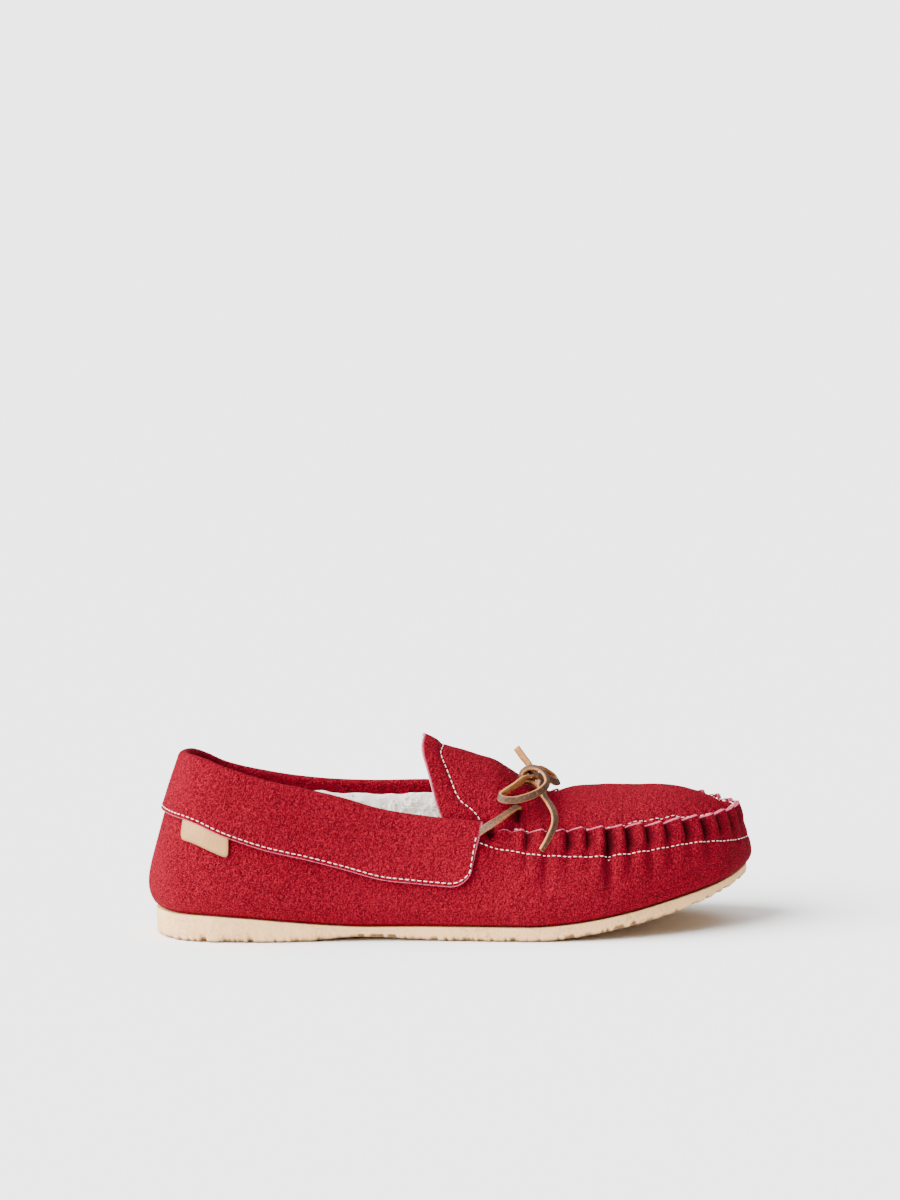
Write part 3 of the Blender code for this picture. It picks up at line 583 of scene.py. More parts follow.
def linear(hex_code):
    """An sRGB hex colour as the linear numbers that a shader takes."""
    channels = [int(hex_code.lstrip("#")[i : i + 2], 16) / 255 for i in (0, 2, 4)]
    return tuple(c / 12.92 if c <= 0.04045 else ((c + 0.055) / 1.055) ** 2.4 for c in channels)


def colour_property(name, description, hex_code):
    """A colour for the sidebar."""
    return FloatVectorProperty(
        name=name, description=description, default=linear(hex_code), size=3, subtype="COLOR", min=0.0, max=1.0
    )


def length_property(name, description, millimetres):
    """A length for the sidebar, which Blender holds in metres."""
    return FloatProperty(
        name=name, description=description, default=millimetres * MM, min=0.0, precision=5, unit="LENGTH"
    )


class SlipperColours(bpy.types.PropertyGroup):
    """Colours of the slipper's materials and of the floor"""

    suede: colour_property("Suede", "Middle tone of the brushed red suede", "#6E0413")
    suede_dark: colour_property("Suede Shade", "Suede whose nap leans away from the light", "#3F040E")
    suede_light: colour_property("Suede Nap", "Tips of the suede's nap", "#8E0F28")
    raw_edge: colour_property("Raw Edge", "Cut edge of the suede", "#C25A72")
    crepe: colour_property("Crepe", "Natural crepe rubber", "#E4B67E")
    # This colour tones the crumbs, and a darker share of it is the painted shade along the sole's lower edge and
    # underside.
    crepe_grime: colour_property("Crepe Shade", "Darker crumbs in the crepe", "#A87A48")
    fleece: colour_property("Fleece", "Natural fleece lining", "#FFF8F0")
    lace_grain: colour_property("Lace Grain", "Smooth oiled side of the lace", "#573622")
    lace_flesh: colour_property("Lace Flesh", "Cut edges and rough side of the lace", "#AA6F3B")
    tab: colour_property("Tab", "Pale leather of the side tab", "#B8854A")
    thread: colour_property("Thread", "Off-white sewing thread", "#F1E0D4")
    floor: colour_property("Floor", "Paper sweep under the slipper", "#FAFAFA")


class SlipperSizes(bpy.types.PropertyGroup):
    """Sizes of the gathers, the fleece and the stitches"""

    groove_depth: length_property("Groove Depth", "How deep the gathers' grooves are cut", 2.5)
    lobe_fullness: length_property("Lobe Fullness", "How far the gathers puff out", 1.1)
    scallop: length_property("Scallop", "How far the ridge dips at each groove", 2.2)
    fleece_depth: length_property("Fleece Depth", "Thickness of the lining's pile", 4.2)
    stitch_pitch: length_property("Stitch Pitch", "Distance from stitch to stitch", 2.6)
    stitch_length: length_property("Stitch Length", "Length of thread that shows", 1.9)
    thread_width: length_property("Thread Width", "Width of the sewing thread", 0.44)
    seed: IntProperty(name="Seed", description="Seed of everything irregular", default=7, min=0)


def sizes_in_mm(context):
    """The sidebar's sizes in millimetres, and its seed."""
    group = context.scene.slipper_sizes
    lengths = [name for name in SlipperSizes.__annotations__ if name != "seed"]
    return SimpleNamespace(seed=group.seed, **{name: getattr(group, name) / MM for name in lengths})


def add_node(tree, kind, inputs=None, settings=None):
    """Adds a node with its settings; each input is given a value, or a socket to link to it."""
    node = tree.nodes.new(kind)
    for key, value in (settings or {}).items():
        setattr(node, key, value)
    for key, value in (inputs or {}).items():
        if isinstance(value, bpy.types.NodeSocket):
            tree.links.new(value, node.inputs[key])
        else:
            node.inputs[key].default_value = value
    return node


# A pattern of noise in a finish: the size of its features in millimetres, its detail and its roughness.
Pattern = namedtuple("Pattern", "size detail roughness")
# A layer covers what is under it where its source goes from low to high, at most by its amount. Its source is a
# pattern or a mark on the mesh.
Layer = namedtuple("Layer", "source low high amount colour")
Tone = namedtuple("Tone", "base layers")
# A bump, in millimetres: how deep it is, how strong it looks and how much each pattern adds to it.
Relief = namedtuple("Relief", "depth strength weights")

# Sockets of a Mix node that mixes two colours.
MIX_FACTOR, MIX_UNDER, MIX_OVER, MIX_RESULT = 0, 6, 7, 2


def deeper(colour, share):
    """A darker shade: this share of a colour's brightness."""
    return [channel * share for channel in colour]


def tone_of(tree, sources, tone):
    """What a tone gives to a colour input: a plain colour, or the socket of its layers."""
    if not isinstance(tone, Tone):
        return (*tone, 1.0)
    under = tone_of(tree, sources, tone.base)
    for layer in tone.layers:
        ends = {"From Min": layer.low, "From Max": layer.high, "To Max": layer.amount}
        cover = add_node(tree, "ShaderNodeMapRange", {"Value": sources[layer.source], **ends})
        over = tone_of(tree, sources, layer.colour)
        terms = {MIX_FACTOR: cover.outputs["Result"], MIX_UNDER: under, MIX_OVER: over}
        under = add_node(tree, "ShaderNodeMix", terms, {"data_type": "RGBA"}).outputs[MIX_RESULT]
    return under


def new_finish(name, tone, patterns, marks=(), relief=None, **sockets):
    """A material from its patterns, the mesh's marks, its tone, its bump and its shader's own sockets."""
    finish = bpy.data.materials.new(name)
    finish.use_nodes = True
    tree = finish.node_tree
    shader = tree.nodes["Principled BSDF"]
    for key, value in sockets.items():
        shader.inputs[key.replace("_", " ")].default_value = value
    place = add_node(tree, "ShaderNodeTexCoord").outputs["Object"]
    sources = {}
    for key, pattern in patterns.items():
        look = {"Scale": 1 / (pattern.size * MM), "Detail": pattern.detail, "Roughness": pattern.roughness}
        sources[key] = add_node(tree, "ShaderNodeTexNoise", {"Vector": place, **look}).outputs["Fac"]
    for mark in marks:
        sources[mark] = add_node(tree, "ShaderNodeAttribute", settings={"attribute_name": mark}).outputs["Fac"]
    tree.links.new(tone_of(tree, sources, tone), shader.inputs["Base Color"])
    if relief:
        height = 0.0
        for key, weight in relief.weights.items():
            terms = {0: sources[key], 1: weight, 2: height}
            height = add_node(tree, "ShaderNodeMath", terms, {"operation": "MULTIPLY_ADD"}).outputs[0]
        look = {"Strength": relief.strength, "Distance": relief.depth * MM, "Height": height}
        tree.links.new(add_node(tree, "ShaderNodeBump", look).outputs["Normal"], shader.inputs["Normal"])
    return finish


def suede_finish(colours):
    """Split leather with a brushed nap: no shine, a faint sheen at grazing angles, mottled where the nap parts.

    Real nap is finer than these fibres and specks, which are as coarse as they need to be to show.
    """
    layers = [
        Layer("fibres", 0.40, 0.51, 1.0, colours.suede),
        Layer("clumps", 0.45, 0.60, 0.30, colours.suede),
        Layer("brushed", 0.42, 0.70, 0.08, colours.suede_light),
        Layer("fibres", 0.52, 0.62, 0.8, colours.suede_light),
        Layer("specks", 0.62, 0.70, 0.6, colours.suede_light),
        Layer("raw_edge", 0.0, 1.0, 1.0, colours.raw_edge),
        # Painted shade: creases, grooves, folds, slits and pits darkened towards black where shade falls in them.
        Layer("crease", 0.0, 1.0, 0.85, deeper(colours.suede_dark, 0.25)),
    ]
    return new_finish(
        "brushed split suede",
        Tone(colours.suede_dark, layers),
        {
            "fibres": Pattern(0.62, 1.0, 0.8),
            "clumps": Pattern(1.7, 2.0, 0.6),
            "brushed": Pattern(24.0, 2.0, 0.5),
            "specks": Pattern(0.5, 1.0, 0.9),
        },
        marks=("raw_edge", "crease"),
        relief=Relief(1.6, 1.0, {"fibres": 0.6, "clumps": 1.0}),
        Roughness=0.95,
        Specular_IOR_Level=0.05,
        Sheen_Weight=0.06,
        Sheen_Roughness=0.4,
        Sheen_Tint=(*colours.suede_light, 1.0),
    )


def crepe_finish(colours):
    """Natural crepe rubber, rolled and cut: matt, clouded and crumbly, with painted shade along its torn lower edge
    and on its underside.
    """
    layers = [
        Layer("crumbs", 0.30, 0.60, 1.0, colours.crepe),
        Layer("clouds", 0.75, 0.35, 1.0, colours.crepe),
        # Painted shade along the lower edge and under the sole.
        Layer("painted_bottom_shade", 0.0, 1.0, 1.0, deeper(colours.crepe_grime, 0.30)),
    ]
    return new_finish(
        "natural crepe rubber",
        Tone(colours.crepe_grime, layers),
        {"crumbs": Pattern(1.6, 4.0, 0.7), "clouds": Pattern(14.0, 2.0, 0.5)},
        marks=("painted_bottom_shade",),
        relief=Relief(0.8, 0.6, {"crumbs": 1.0}),
        Roughness=0.75,
        Specular_IOR_Level=0.3,
    )


def fleece_finish(colours):
    """Wool fleece on a knitted back: deep soft clumps that glow a little where light gets between the fibres."""
    return new_finish(
        "natural wool fleece",
        Tone(deeper(colours.fleece, 0.93), [Layer("curls", 0.30, 0.62, 1.0, colours.fleece)]),
        {"curls": Pattern(2.6, 4.0, 0.7)},
        relief=Relief(1.2, 0.7, {"curls": 1.0}),
        Roughness=1.0,
        Specular_IOR_Level=0.05,
        Sheen_Weight=0.5,
        Sheen_Roughness=0.6,
        Subsurface_Weight=0.15,
        Subsurface_Radius=(1.0, 0.85, 0.75),
        Subsurface_Scale=0.002,
    )


def lace_finish(colours):
    """Oiled leather lace cut from a hide: a dull smooth grain side, paler cut edges and a rough flesh side."""
    grain_side = Tone(
        deeper(colours.lace_grain, 0.35),
        [Layer("pores", 0.38, 0.60, 1.0, colours.lace_grain), Layer("pores", 0.58, 0.68, 0.5, colours.lace_flesh)],
    )
    flesh_side = Tone(
        deeper(colours.lace_flesh, 0.62),
        [Layer("streaks", 0.30, 0.60, 1.0, colours.lace_flesh), Layer("pores", 0.50, 0.36, 0.45, colours.lace_grain)],
    )
    return new_finish(
        "oiled leather lace",
        Tone(grain_side, [Layer("flesh", 0.0, 1.0, 1.0, flesh_side)]),
        {"pores": Pattern(0.9, 4.0, 0.7), "streaks": Pattern(5.0, 3.0, 0.6)},
        marks=("flesh",),
        relief=Relief(0.4, 0.5, {"pores": 1.0}),
        Roughness=0.62,
        Specular_IOR_Level=0.35,
    )


def tab_finish(colours):
    """Vegetable-tanned leather with a smooth pale grain, darker along its edges."""
    layers = [
        Layer("clouds", 0.3, 0.7, 1.0, colours.tab),
        Layer("pores", 0.52, 0.38, 0.5, deeper(colours.tab, 0.55)),
        Layer("worn", 0.0, 1.0, 0.8, deeper(colours.tab, 0.45)),
    ]
    return new_finish(
        "vegetable-tanned tab leather",
        Tone(deeper(colours.tab, 0.78), layers),
        {"pores": Pattern(0.7, 4.0, 0.7), "clouds": Pattern(7.0, 2.0, 0.5)},
        marks=("worn",),
        relief=Relief(0.3, 0.35, {"pores": 1.0}),
        Roughness=0.55,
        Specular_IOR_Level=0.4,
    )


def thread_finish(colours):
    """Spun polyester thread: matt, off-white, a little darker where its plies turn under."""
    return new_finish(
        "spun sewing thread",
        Tone(deeper(colours.thread, 0.8), [Layer("plies", 0.0, 1.0, 1.0, colours.thread)]),
        {"plies": Pattern(1.5, 3.0, 0.6)},
        Roughness=0.8,
        Specular_IOR_Level=0.25,
    )


def floor_finish(colours):
    """Matt paper sweep, almost even."""
    return new_finish(
        "matt paper sweep",
        Tone(deeper(colours.floor, 0.995), [Layer("clouds", 0.0, 1.0, 1.0, colours.floor)]),
        {"clouds": Pattern(60.0, 2.0, 0.6)},
        Roughness=0.9,
        Specular_IOR_Level=0.1,
    )


FINISH_MAKERS = {
    "suede": suede_finish,
    "crepe": crepe_finish,
    "fleece": fleece_finish,
    "lace": lace_finish,
    "tab": tab_finish,
    "thread": thread_finish,
    "floor": floor_finish,
}
FINISHES = {}


def finish_of(kind):
    """The material of a kind, made once."""
    if kind not in FINISHES:
        FINISHES[kind] = FINISH_MAKERS[kind](bpy.context.scene.slipper_colours)
    return FINISHES[kind]


def gather_phase(distance):
    """Where along the gathers a distance lies, in lobes from the throat, and -1 behind the throat."""
    distance = np.asarray(distance, float) % TOTAL
    lateral = (distance - LATERAL_THROAT) / (TOE_DISTANCE - LATERAL_THROAT) * LOBES
    medial = (MEDIAL_THROAT - distance) / (MEDIAL_THROAT - TOE_DISTANCE) * LOBES
    phase = np.where(distance <= TOE_DISTANCE, lateral, medial)
    return np.where((distance < LATERAL_THROAT - 1e-6) | (distance > MEDIAL_THROAT + 1e-6), -1.0, phase)


def groove_distance(groove, lateral):
    """Distance from the heel to a groove, counted from the throat."""
    if lateral:
        return LATERAL_THROAT + (TOE_DISTANCE - LATERAL_THROAT) * groove / LOBES
    return MEDIAL_THROAT - (MEDIAL_THROAT - TOE_DISTANCE) * groove / LOBES


# How strongly each gather is drawn in, from the throat to the toe.
LATERAL_PULLS = (0.7, 0.7, 0.6, 0.95, 0.85, 1.35, 1.2, 0.9, 0.85, 1.0, 1.15, 0.95, 1.0, 0.8, 0.6)
MEDIAL_PULLS = (0.6, 0.7, 1.05, 0.8, 1.2, 0.85, 1.1, 1.3, 0.8, 0.95, 1.2, 0.9, 1.1, 0.8, 0.6)


def lobe_shape(phase):
    """0 in a groove and 1 on a lobe's crown, which lies towards the toe, and how freely the gathers swell there."""
    share = np.clip(phase, 0, None) % 1
    crown = np.sin(np.pi * share**1.9) ** 0.6
    free = np.where(phase < 0, 0, ease(0, 0.45, phase))
    return np.clip(crown, 0, 1), free


def lobe_pull(distance):
    """How strongly the nearest gather is drawn in."""
    phase = np.clip(gather_phase(distance), 0, LOBES)
    low = np.minimum(phase.astype(int), LOBES - 1)
    near = ease(0.35, 0.65, phase - low)
    pulls = np.where(is_lateral(distance)[:, None], LATERAL_PULLS, MEDIAL_PULLS)
    column_of = np.arange(len(low))
    return pulls[column_of, low] * (1 - near) + pulls[column_of, low + 1] * near


# A groove's reach down the wall, unpulled and for each unit of pull, how much of it fades there, and the rest's end.
GROOVE_REACH = 2.0
GROOVE_REACH_PULLED = 6.0
GROOVE_FADE = 0.86
GROOVE_END = (11.0, 17.0)
# A fold's slant and widening on its way down, its width at the top, its shoulders' width and where it sets in.
FOLD_SLANT = 0.06
FOLD_WIDENING = 0.06
FOLD_WIDTH = 1.5
FOLD_SHOULDER = 3.2
FOLD_START = (2.0, 8.0)
# The channel that the stitches round the vamp are pulled into.
STITCH_SINK = 0.4
STITCH_SINK_WIDTH = 0.9
# How far slack suede swells in and out, and how wide its swells are.
SLACK = 0.55
WALL_SWELL = 34.0
PLUG_SWELL = 24.0


def fold_push(fold, lateral, wall, below):
    """How far one fold pushes the wall out, and how much shade is painted into its trough."""
    slant = FOLD_SLANT if lateral else -FOLD_SLANT
    middle = groove_distance(fold.groove, lateral) - slant * below
    width = FOLD_WIDTH + FOLD_WIDENING * below
    trough = hump(wall.distance, middle, width)
    shoulder = hump(wall.distance, middle, FOLD_SHOULDER * width)
    down = ease(*FOLD_START, below) * (1 - ease(9.0 + 0.35 * fold.length, 11.0 + fold.length, below))
    return fold.depth * down * (0.45 * shoulder - 1.45 * trough), 0.42 * fold.depth * down * trough**1.5


def wall_relief(wall, share, sizes):
    """How far gathers, folds, sunk stitches and slack push the side wall out, and how much shade is painted into its
    creases.
    """
    below = (1 - share) * wall.height
    crown, free = lobe_shape(gather_phase(wall.distance))
    pull = lobe_pull(wall.distance)
    reach = below / (GROOVE_REACH + GROOVE_REACH_PULLED * pull)
    fade = 1 - GROOVE_FADE * ease(0.35, 1.15, reach) - (1 - GROOVE_FADE) * ease(*GROOVE_END, below)
    relief = free * fade * (sizes.lobe_fullness - sizes.groove_depth * pull * (1 - crown))
    # Painted shade in the grooves between the gathers.
    crease = free * np.clip(1.3 * pull * (1 - crown) ** 1.4, 0, 1) * (1 - ease(0.45, 1.1, reach))
    for folds, lateral in ((LATERAL_FOLDS, True), (MEDIAL_FOLDS, False)):
        for fold in folds:
            push, dark = fold_push(fold, lateral, wall, below)
            relief += push
            crease += dark
    front = ease(THROAT - 14, THROAT - 4, wall.point[:, 0])
    line = column(VAMP_STITCHES, "below", wall.along)
    relief -= STITCH_SINK * front * hump(below, line, STITCH_SINK_WIDTH)
    spots = np.column_stack([wall.point, wall.foot_height + share * wall.height])
    slack = noise_at(spots, WALL_SWELL, sizes.seed, 2)
    relief += SLACK * slack * ease(0, 0.2, share) * (1 - 0.6 * ease(0.8, 1, share))
    return relief, np.clip(crease, 0, 1)


REAR_STEP = 1.7
LOBE_COLUMNS = 13


def fine_distances():
    """Distances round the tub, in even steps behind the throat and so many to each lobe in front of it.

    With them come the places in that list of the lateral throat, the toe and the medial throat.
    """
    lateral = np.linspace(0, LATERAL_THROAT, int(LATERAL_THROAT / REAR_STEP))[:-1]
    medial = np.linspace(MEDIAL_THROAT, TOTAL, int((TOTAL - MEDIAL_THROAT) / REAR_STEP))[1:-1]
    side = LOBES * LOBE_COLUMNS
    to_toe = np.linspace(LATERAL_THROAT, TOE_DISTANCE, side + 1)
    from_toe = np.linspace(TOE_DISTANCE, MEDIAL_THROAT, side + 1)[1:]
    first = len(lateral)
    return np.concatenate([lateral, to_toe, from_toe, medial]), first, first + side, first + 2 * side


# The ridge's scallops: where a lobe is highest, how far its cut edge stands over the solid's ridge, how much lower
# the medial side's first lobes are, and how uneven the lobes are.
LOBE_CREST = 0.8
CUT_EDGE_RISE = 0.55
MEDIAL_DROP = 1.1
MEDIAL_DROP_END = (8.5, 11.0)
RIDGE_UNEVENNESS = 0.35


def ridge_height(distance, sizes):
    """Height of the ridge's cut edge over the seam: each lobe rises towards the toe and then falls steeply."""
    phase = gather_phase(distance)
    _, free = lobe_shape(phase)
    share = np.clip(phase, 0, None) % 1
    climb = np.minimum(share / LOBE_CREST, (1 - share) / (1 - LOBE_CREST)) ** 0.75
    lateral = is_lateral(distance)
    lower = np.where(lateral, 0.0, MEDIAL_DROP * (1 - ease(*MEDIAL_DROP_END, phase)))
    sway = np.sin(2.4 * np.floor(phase) + np.where(lateral, 0.0, 2.0)) * np.sin(np.pi * share)
    return free * (RIDGE_HEIGHT + CUT_EDGE_RISE - sizes.scallop * (1 - climb) + RIDGE_UNEVENNESS * sway - lower)


# Rows of the tub's margin on the sole, from its inner edge to the foot of the wall.
MarginRow = namedtuple("MarginRow", "offset lift")
MARGIN_ROWS = (
    MarginRow(-MARGIN_WIDTH, 0.0),
    MarginRow(-3.4, 0.0),
    MarginRow(-1.7, 0.1),
    MarginRow(-1.0, 0.5),
)
# Rows of the ridge over the seam, as shares of its height, and how far each tapers in.
RidgeRow = namedtuple("RidgeRow", "share taper")
RIDGE_ROWS = (
    RidgeRow(0.3, 0.0),
    RidgeRow(0.62, 0.0),
    RidgeRow(0.86, 0.0),
    RidgeRow(0.96, 0.05),
    RidgeRow(1.0, 0.25),
)
TUB_ROWS = 38
# Behind the throat: the notch beside the lace's run, and the corner where the cut edge of the ridge begins.
NOTCH_BEHIND = 7.0
NOTCH_WIDTH = 2.6
RIDGE_START_BEHIND = 0.8
RIDGE_START_WIDTH = 3.2
RIDGE_START_RISE = 2.0
REAR_RISE = 0.25


def tub(sizes):
    """The tub: its margin over the sole, its side wall with the gathers, and its cut edge along the ridge."""
    distance, *_ = fine_distances()
    count = len(distance)
    wall = Wall(distance)
    _, free = lobe_shape(gather_phase(distance))
    behind = THROAT - wall.point[:, 0]
    notch = THROAT_NOTCH * hump(behind, NOTCH_BEHIND, NOTCH_WIDTH)
    start = hump(behind, RIDGE_START_BEHIND, RIDGE_START_WIDTH, 4)
    rise = ridge_height(distance, sizes) + REAR_RISE * (1 - free)
    rise += RIDGE_START_RISE * start * (1 - free)
    outer, inner, raw, crease = [], [], [], []
    for margin in MARGIN_ROWS:
        row = wall.place(np.full(count, margin.offset), np.zeros(count))
        row[:, 2] = sole_top(row[:, 0]) + GAP + margin.lift
        outer.append(row)
        under = np.full(count, -SUEDE * (1 - margin.lift))
        inner.append(row - np.column_stack([wall.normal * margin.lift * 2, under]))
        raw.append(np.zeros(count))
        # Painted shade on the margin, where it lies under the wall's foot.
        crease.append(np.full(count, 0.35 * (1 - margin.lift)))
    for share in 1 - np.linspace(0.97, 0, TUB_ROWS) ** 1.15:
        relief, dark = wall_relief(wall, share, sizes)
        sink = np.column_stack([np.zeros((count, 2)), notch * ease(0.7, 1, share)])
        outer.append(wall.layer(share, -relief) - sink)
        inner.append(wall.layer(share, SUEDE - relief) - sink)
        raw.append(np.zeros(count))
        crease.append(dark)
    offset, height = wall.profile(1.0)
    height = height - notch
    for row in RIDGE_ROWS:
        out = offset - RIDGE_LEAN * row.share + relief * (1 - 0.35 * row.share) - row.taper
        outer.append(wall.place(out, height + rise * row.share))
        inner.append(wall.place(out - SUEDE + (0.5 + 2 * row.taper) * free, height + rise * row.share))
        raw.append(np.full(count, ease(0.93, 1.0, row.share)) * np.maximum(free, start))
        # The grooves' painted shade runs on up the ridge, fading.
        crease.append(dark * (1 - 0.45 * row.share))
    faces = grid_faces(len(outer), count, closed=True)
    marks = {"raw_edge": np.concatenate(raw), "crease": np.concatenate(crease)}
    piece = shell("tub_suede", np.vstack(outer), np.vstack(inner), faces, finish_of("suede"), marks)
    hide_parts("upper")


# One side of the apron's sewn edge, from the toe back: the wall under it, the push and the lobes of the gathers, the
# seam's offset and height, and the points where the apron meets the ridge.
SeamEdge = namedtuple("SeamEdge", "wall relief crown free offset height foot")


def seam_edges(sizes):
    """The apron's lateral and medial sewn edges, each from the toe back."""
    distance, first, toe, last = fine_distances()
    edges = []
    for columns in (distance[first : toe + 1][::-1], distance[toe : last + 1]):
        wall = Wall(columns)
        relief, _ = wall_relief(wall, 1.0, sizes)
        crown, free = lobe_shape(gather_phase(columns))
        offset, height = wall.profile(1.0)
        foot = wall.place(offset - RIDGE_WIDTH, height)
        edges.append(SeamEdge(wall, relief, crown, free, offset, height, foot))
    return edges


def plug_slack(points, sizes):
    """How far the apron and the tongue lift or sink where the suede lies slack."""
    return SLACK * noise_at(points, PLUG_SWELL, sizes.seed + 1, 3)


def way_from_side(grid):
    """For each point of a grid, the way along its row to the nearer side."""
    step = np.linalg.norm(np.diff(grid, axis=1), axis=2)
    way = np.concatenate([np.zeros((len(grid), 1)), np.cumsum(step, axis=1)], axis=1)
    return np.minimum(way, way[:, -1:] - way)


# The apron's columns and how they crowd at its edges, the puckers beside the seam and the fullness over the toes.
APRON_COLUMNS = 61
APRON_CROWDING = 0.11
APRON_WALL = 0.8
SEAM_PUSH = 0.8
SEAM_PUSH_WIDTH = 2.5
PUCKER_AT = 2.0
PUCKER_WIDTH = 3.6
PUCKER_SHADE_WIDTH = 2.2
TOE_FULLNESS = 2.3
TOE_FULL_AT = 228.0
TOE_FULL_LENGTH = 17.0
# Rows of the apron's turned-up edge, from the raw edge down: how far out of the seam, and up as a share of the ridge.
FlangeRow = namedtuple("FlangeRow", "out up")
FLANGE_ROWS = (
    FlangeRow(-RIDGE_LEAN - 1.95, 1.0),
    FlangeRow(-RIDGE_LEAN - 2.05, 0.85),
    FlangeRow(-RIDGE_LEAN - 2.15, 0.5),
    FlangeRow(-RIDGE_WIDTH, 0.2),
)
# The slits that the lace goes through, as shares across the apron; they are dents with painted shade, not holes.
SLITS = ((0.085, 0.2), (0.8, 0.915))
SLIT_WIDTH = 1.3
SLIT_DEPTH = 1.0


def apron_shares():
    """Shares across the apron, closer together near its edges."""
    t = np.linspace(0, 1, APRON_COLUMNS)
    return t - APRON_CROWDING * np.sin(2 * np.pi * t)


def apron_surface(lateral, medial, share):
    """Grid of the apron's surface from its lateral and medial edges, as (row, across, 3)."""
    rows = len(lateral)
    chord = (lateral + medial)[:, 0] / 2
    even = chord[0] + (chord[-1] - chord[0]) * np.arange(rows) / (rows - 1)
    grid = lateral[:, None] * (1 - share)[:, None] + medial[:, None] * share[:, None]
    grid[..., 0] -= (chord - even)[:, None] * dome(share)
    middle = (lateral + medial)[:, 2] / 2
    grid[..., 2] += np.maximum(crest(grid[..., 0]) - middle[:, None], 0) * dome(share)
    return grid


def toe_fullness(x, share):
    """How far the apron crowns over the toes."""
    return TOE_FULLNESS * hump(x, TOE_FULL_AT, TOE_FULL_LENGTH) * dome(share) ** 0.7


def pucker(edge):
    """How far each gather lifts or sinks the apron beside the seam."""
    return edge.free * (0.9 * edge.crown - 0.5)


def flange(edge, sizes):
    """The rows of the apron's turned-up edge on one side, as (row, across, 3)."""
    rise = ridge_height(edge.wall.distance, sizes) * 0.96 + 0.1
    rows = []
    for row in FLANGE_ROWS:
        offset = edge.offset + row.out + edge.relief * (1 - 0.35 * row.up) * 0.9
        rows.append(edge.wall.place(offset, edge.height + rise * row.up))
    return np.stack(rows, axis=1)


def press_dents(grid):
    """Presses the lace's troughs into a grid, each with a low rim beside it."""
    for dent in DENTS:
        start = np.array([dent.from_x, dent.from_y])
        run = np.array([dent.to_x, dent.to_y]) - start
        at = np.clip(((grid[..., :2] - start) @ run) / (run @ run), 0, 1)
        off = np.linalg.norm(grid[..., :2] - start - at[..., None] * run, axis=-1)
        depth = dent.depth * (1 - ease(0.75, 1.0, at) * 0.6)
        grid[..., 2] -= depth * hump(off, 0, dent.width)
        grid[..., 2] += 0.25 * depth * hump(off, 1.9 * dent.width, dent.width)


def apron(sizes):
    """The apron, its edge turned up along the ridge, with the puckers of the gathers and the lace's troughs."""
    edges = seam_edges(sizes)
    share = apron_shares()
    grid = apron_surface(edges[0].foot, edges[1].foot, share)
    grid[..., 2] += toe_fullness(grid[..., 0], share)
    span = np.linalg.norm(edges[1].foot - edges[0].foot, axis=1)[:, None]
    ways = (share[None, :] * span, (1 - share)[None, :] * span)
    crease = np.zeros(grid.shape[:2])
    for edge, away in zip(edges, ways):
        push = (edge.relief * SEAM_PUSH)[:, None, None] * np.exp(-away / SEAM_PUSH_WIDTH)[..., None]
        grid[..., :2] += edge.wall.normal[:, None, :] * push
        grid[..., 2] += pucker(edge)[:, None] * hump(away, PUCKER_AT, PUCKER_WIDTH)
        # Painted shade beside the seam, in the grooves between the puckers.
        crease += (edge.free * (1 - edge.crown))[:, None] * 0.7 * hump(away, 0, PUCKER_SHADE_WIDTH)
    press_dents(grid)
    rows = len(grid)
    flat = grid.reshape(-1, 3)
    inside = np.minimum(*ways).reshape(-1)
    flat += grid_normals(flat, rows, len(share)) * (plug_slack(flat, sizes) * ease(0, 6, inside))[:, None]
    grid = flat.reshape(grid.shape)
    for slit in SLITS:
        gap = np.hypot(grid[..., 0] - SLIT_AT, (share - np.clip(share, *slit))[None, :] * span)
        grid[..., 2] -= SLIT_DEPTH * hump(gap, 0, SLIT_WIDTH)
        # The slits are pressed dents painted dark: painted shade where the lace goes in.
        crease += 1.2 * hump(gap, 0, SLIT_WIDTH - 0.2)
    points = np.concatenate([flange(edges[0], sizes), grid, flange(edges[1], sizes)[:, ::-1]], axis=1)
    across = points.shape[1]
    raw = np.zeros((rows, across))
    raw[:, 0] = edges[0].free
    raw[:, -1] = edges[1].free
    turned = len(FLANGE_ROWS)
    # Painted shade on the turned-up edge, carried over from the puckers' grooves.
    dark = np.zeros((rows, across))
    dark[:, turned:-turned] = crease
    for k in range(turned):
        dark[:, k] = crease[:, 0] * (0.3 + 0.2 * k)
        dark[:, -1 - k] = crease[:, -1] * (0.3 + 0.2 * k)
    points = points.reshape(-1, 3)
    under = points - APRON_WALL * grid_normals(points, rows, across)
    marks = {"raw_edge": raw.ravel(), "crease": np.clip(dark.ravel(), 0, 1)}
    piece = shell("apron_suede", points, under, grid_faces(rows, across), finish_of("suede"), marks)
    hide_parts("upper")


# The tongue: its grid, how far its front is tucked under the apron, its stitch channel and the pit at each corner
# where the lace goes in under the cuff.
TONGUE_COLUMNS = 81
TONGUE_ROWS = 44
SHOULDER_WIDTH = 0.12
TUCK_LENGTH = 1.9
TUCK_DROP = 0.35
CHANNEL_DEPTH = 0.55
CHANNEL_WIDTH = 1.3
HEM_SWELL = 0.35
HEM_AT = 5.0
HEM_WIDTH = 3.0
PIT_DEPTH = 3.4
PIT_WIDTH = 5.2
PIT_START = (136.0, 139.0)
PIT_END = (145.0, 148.0)


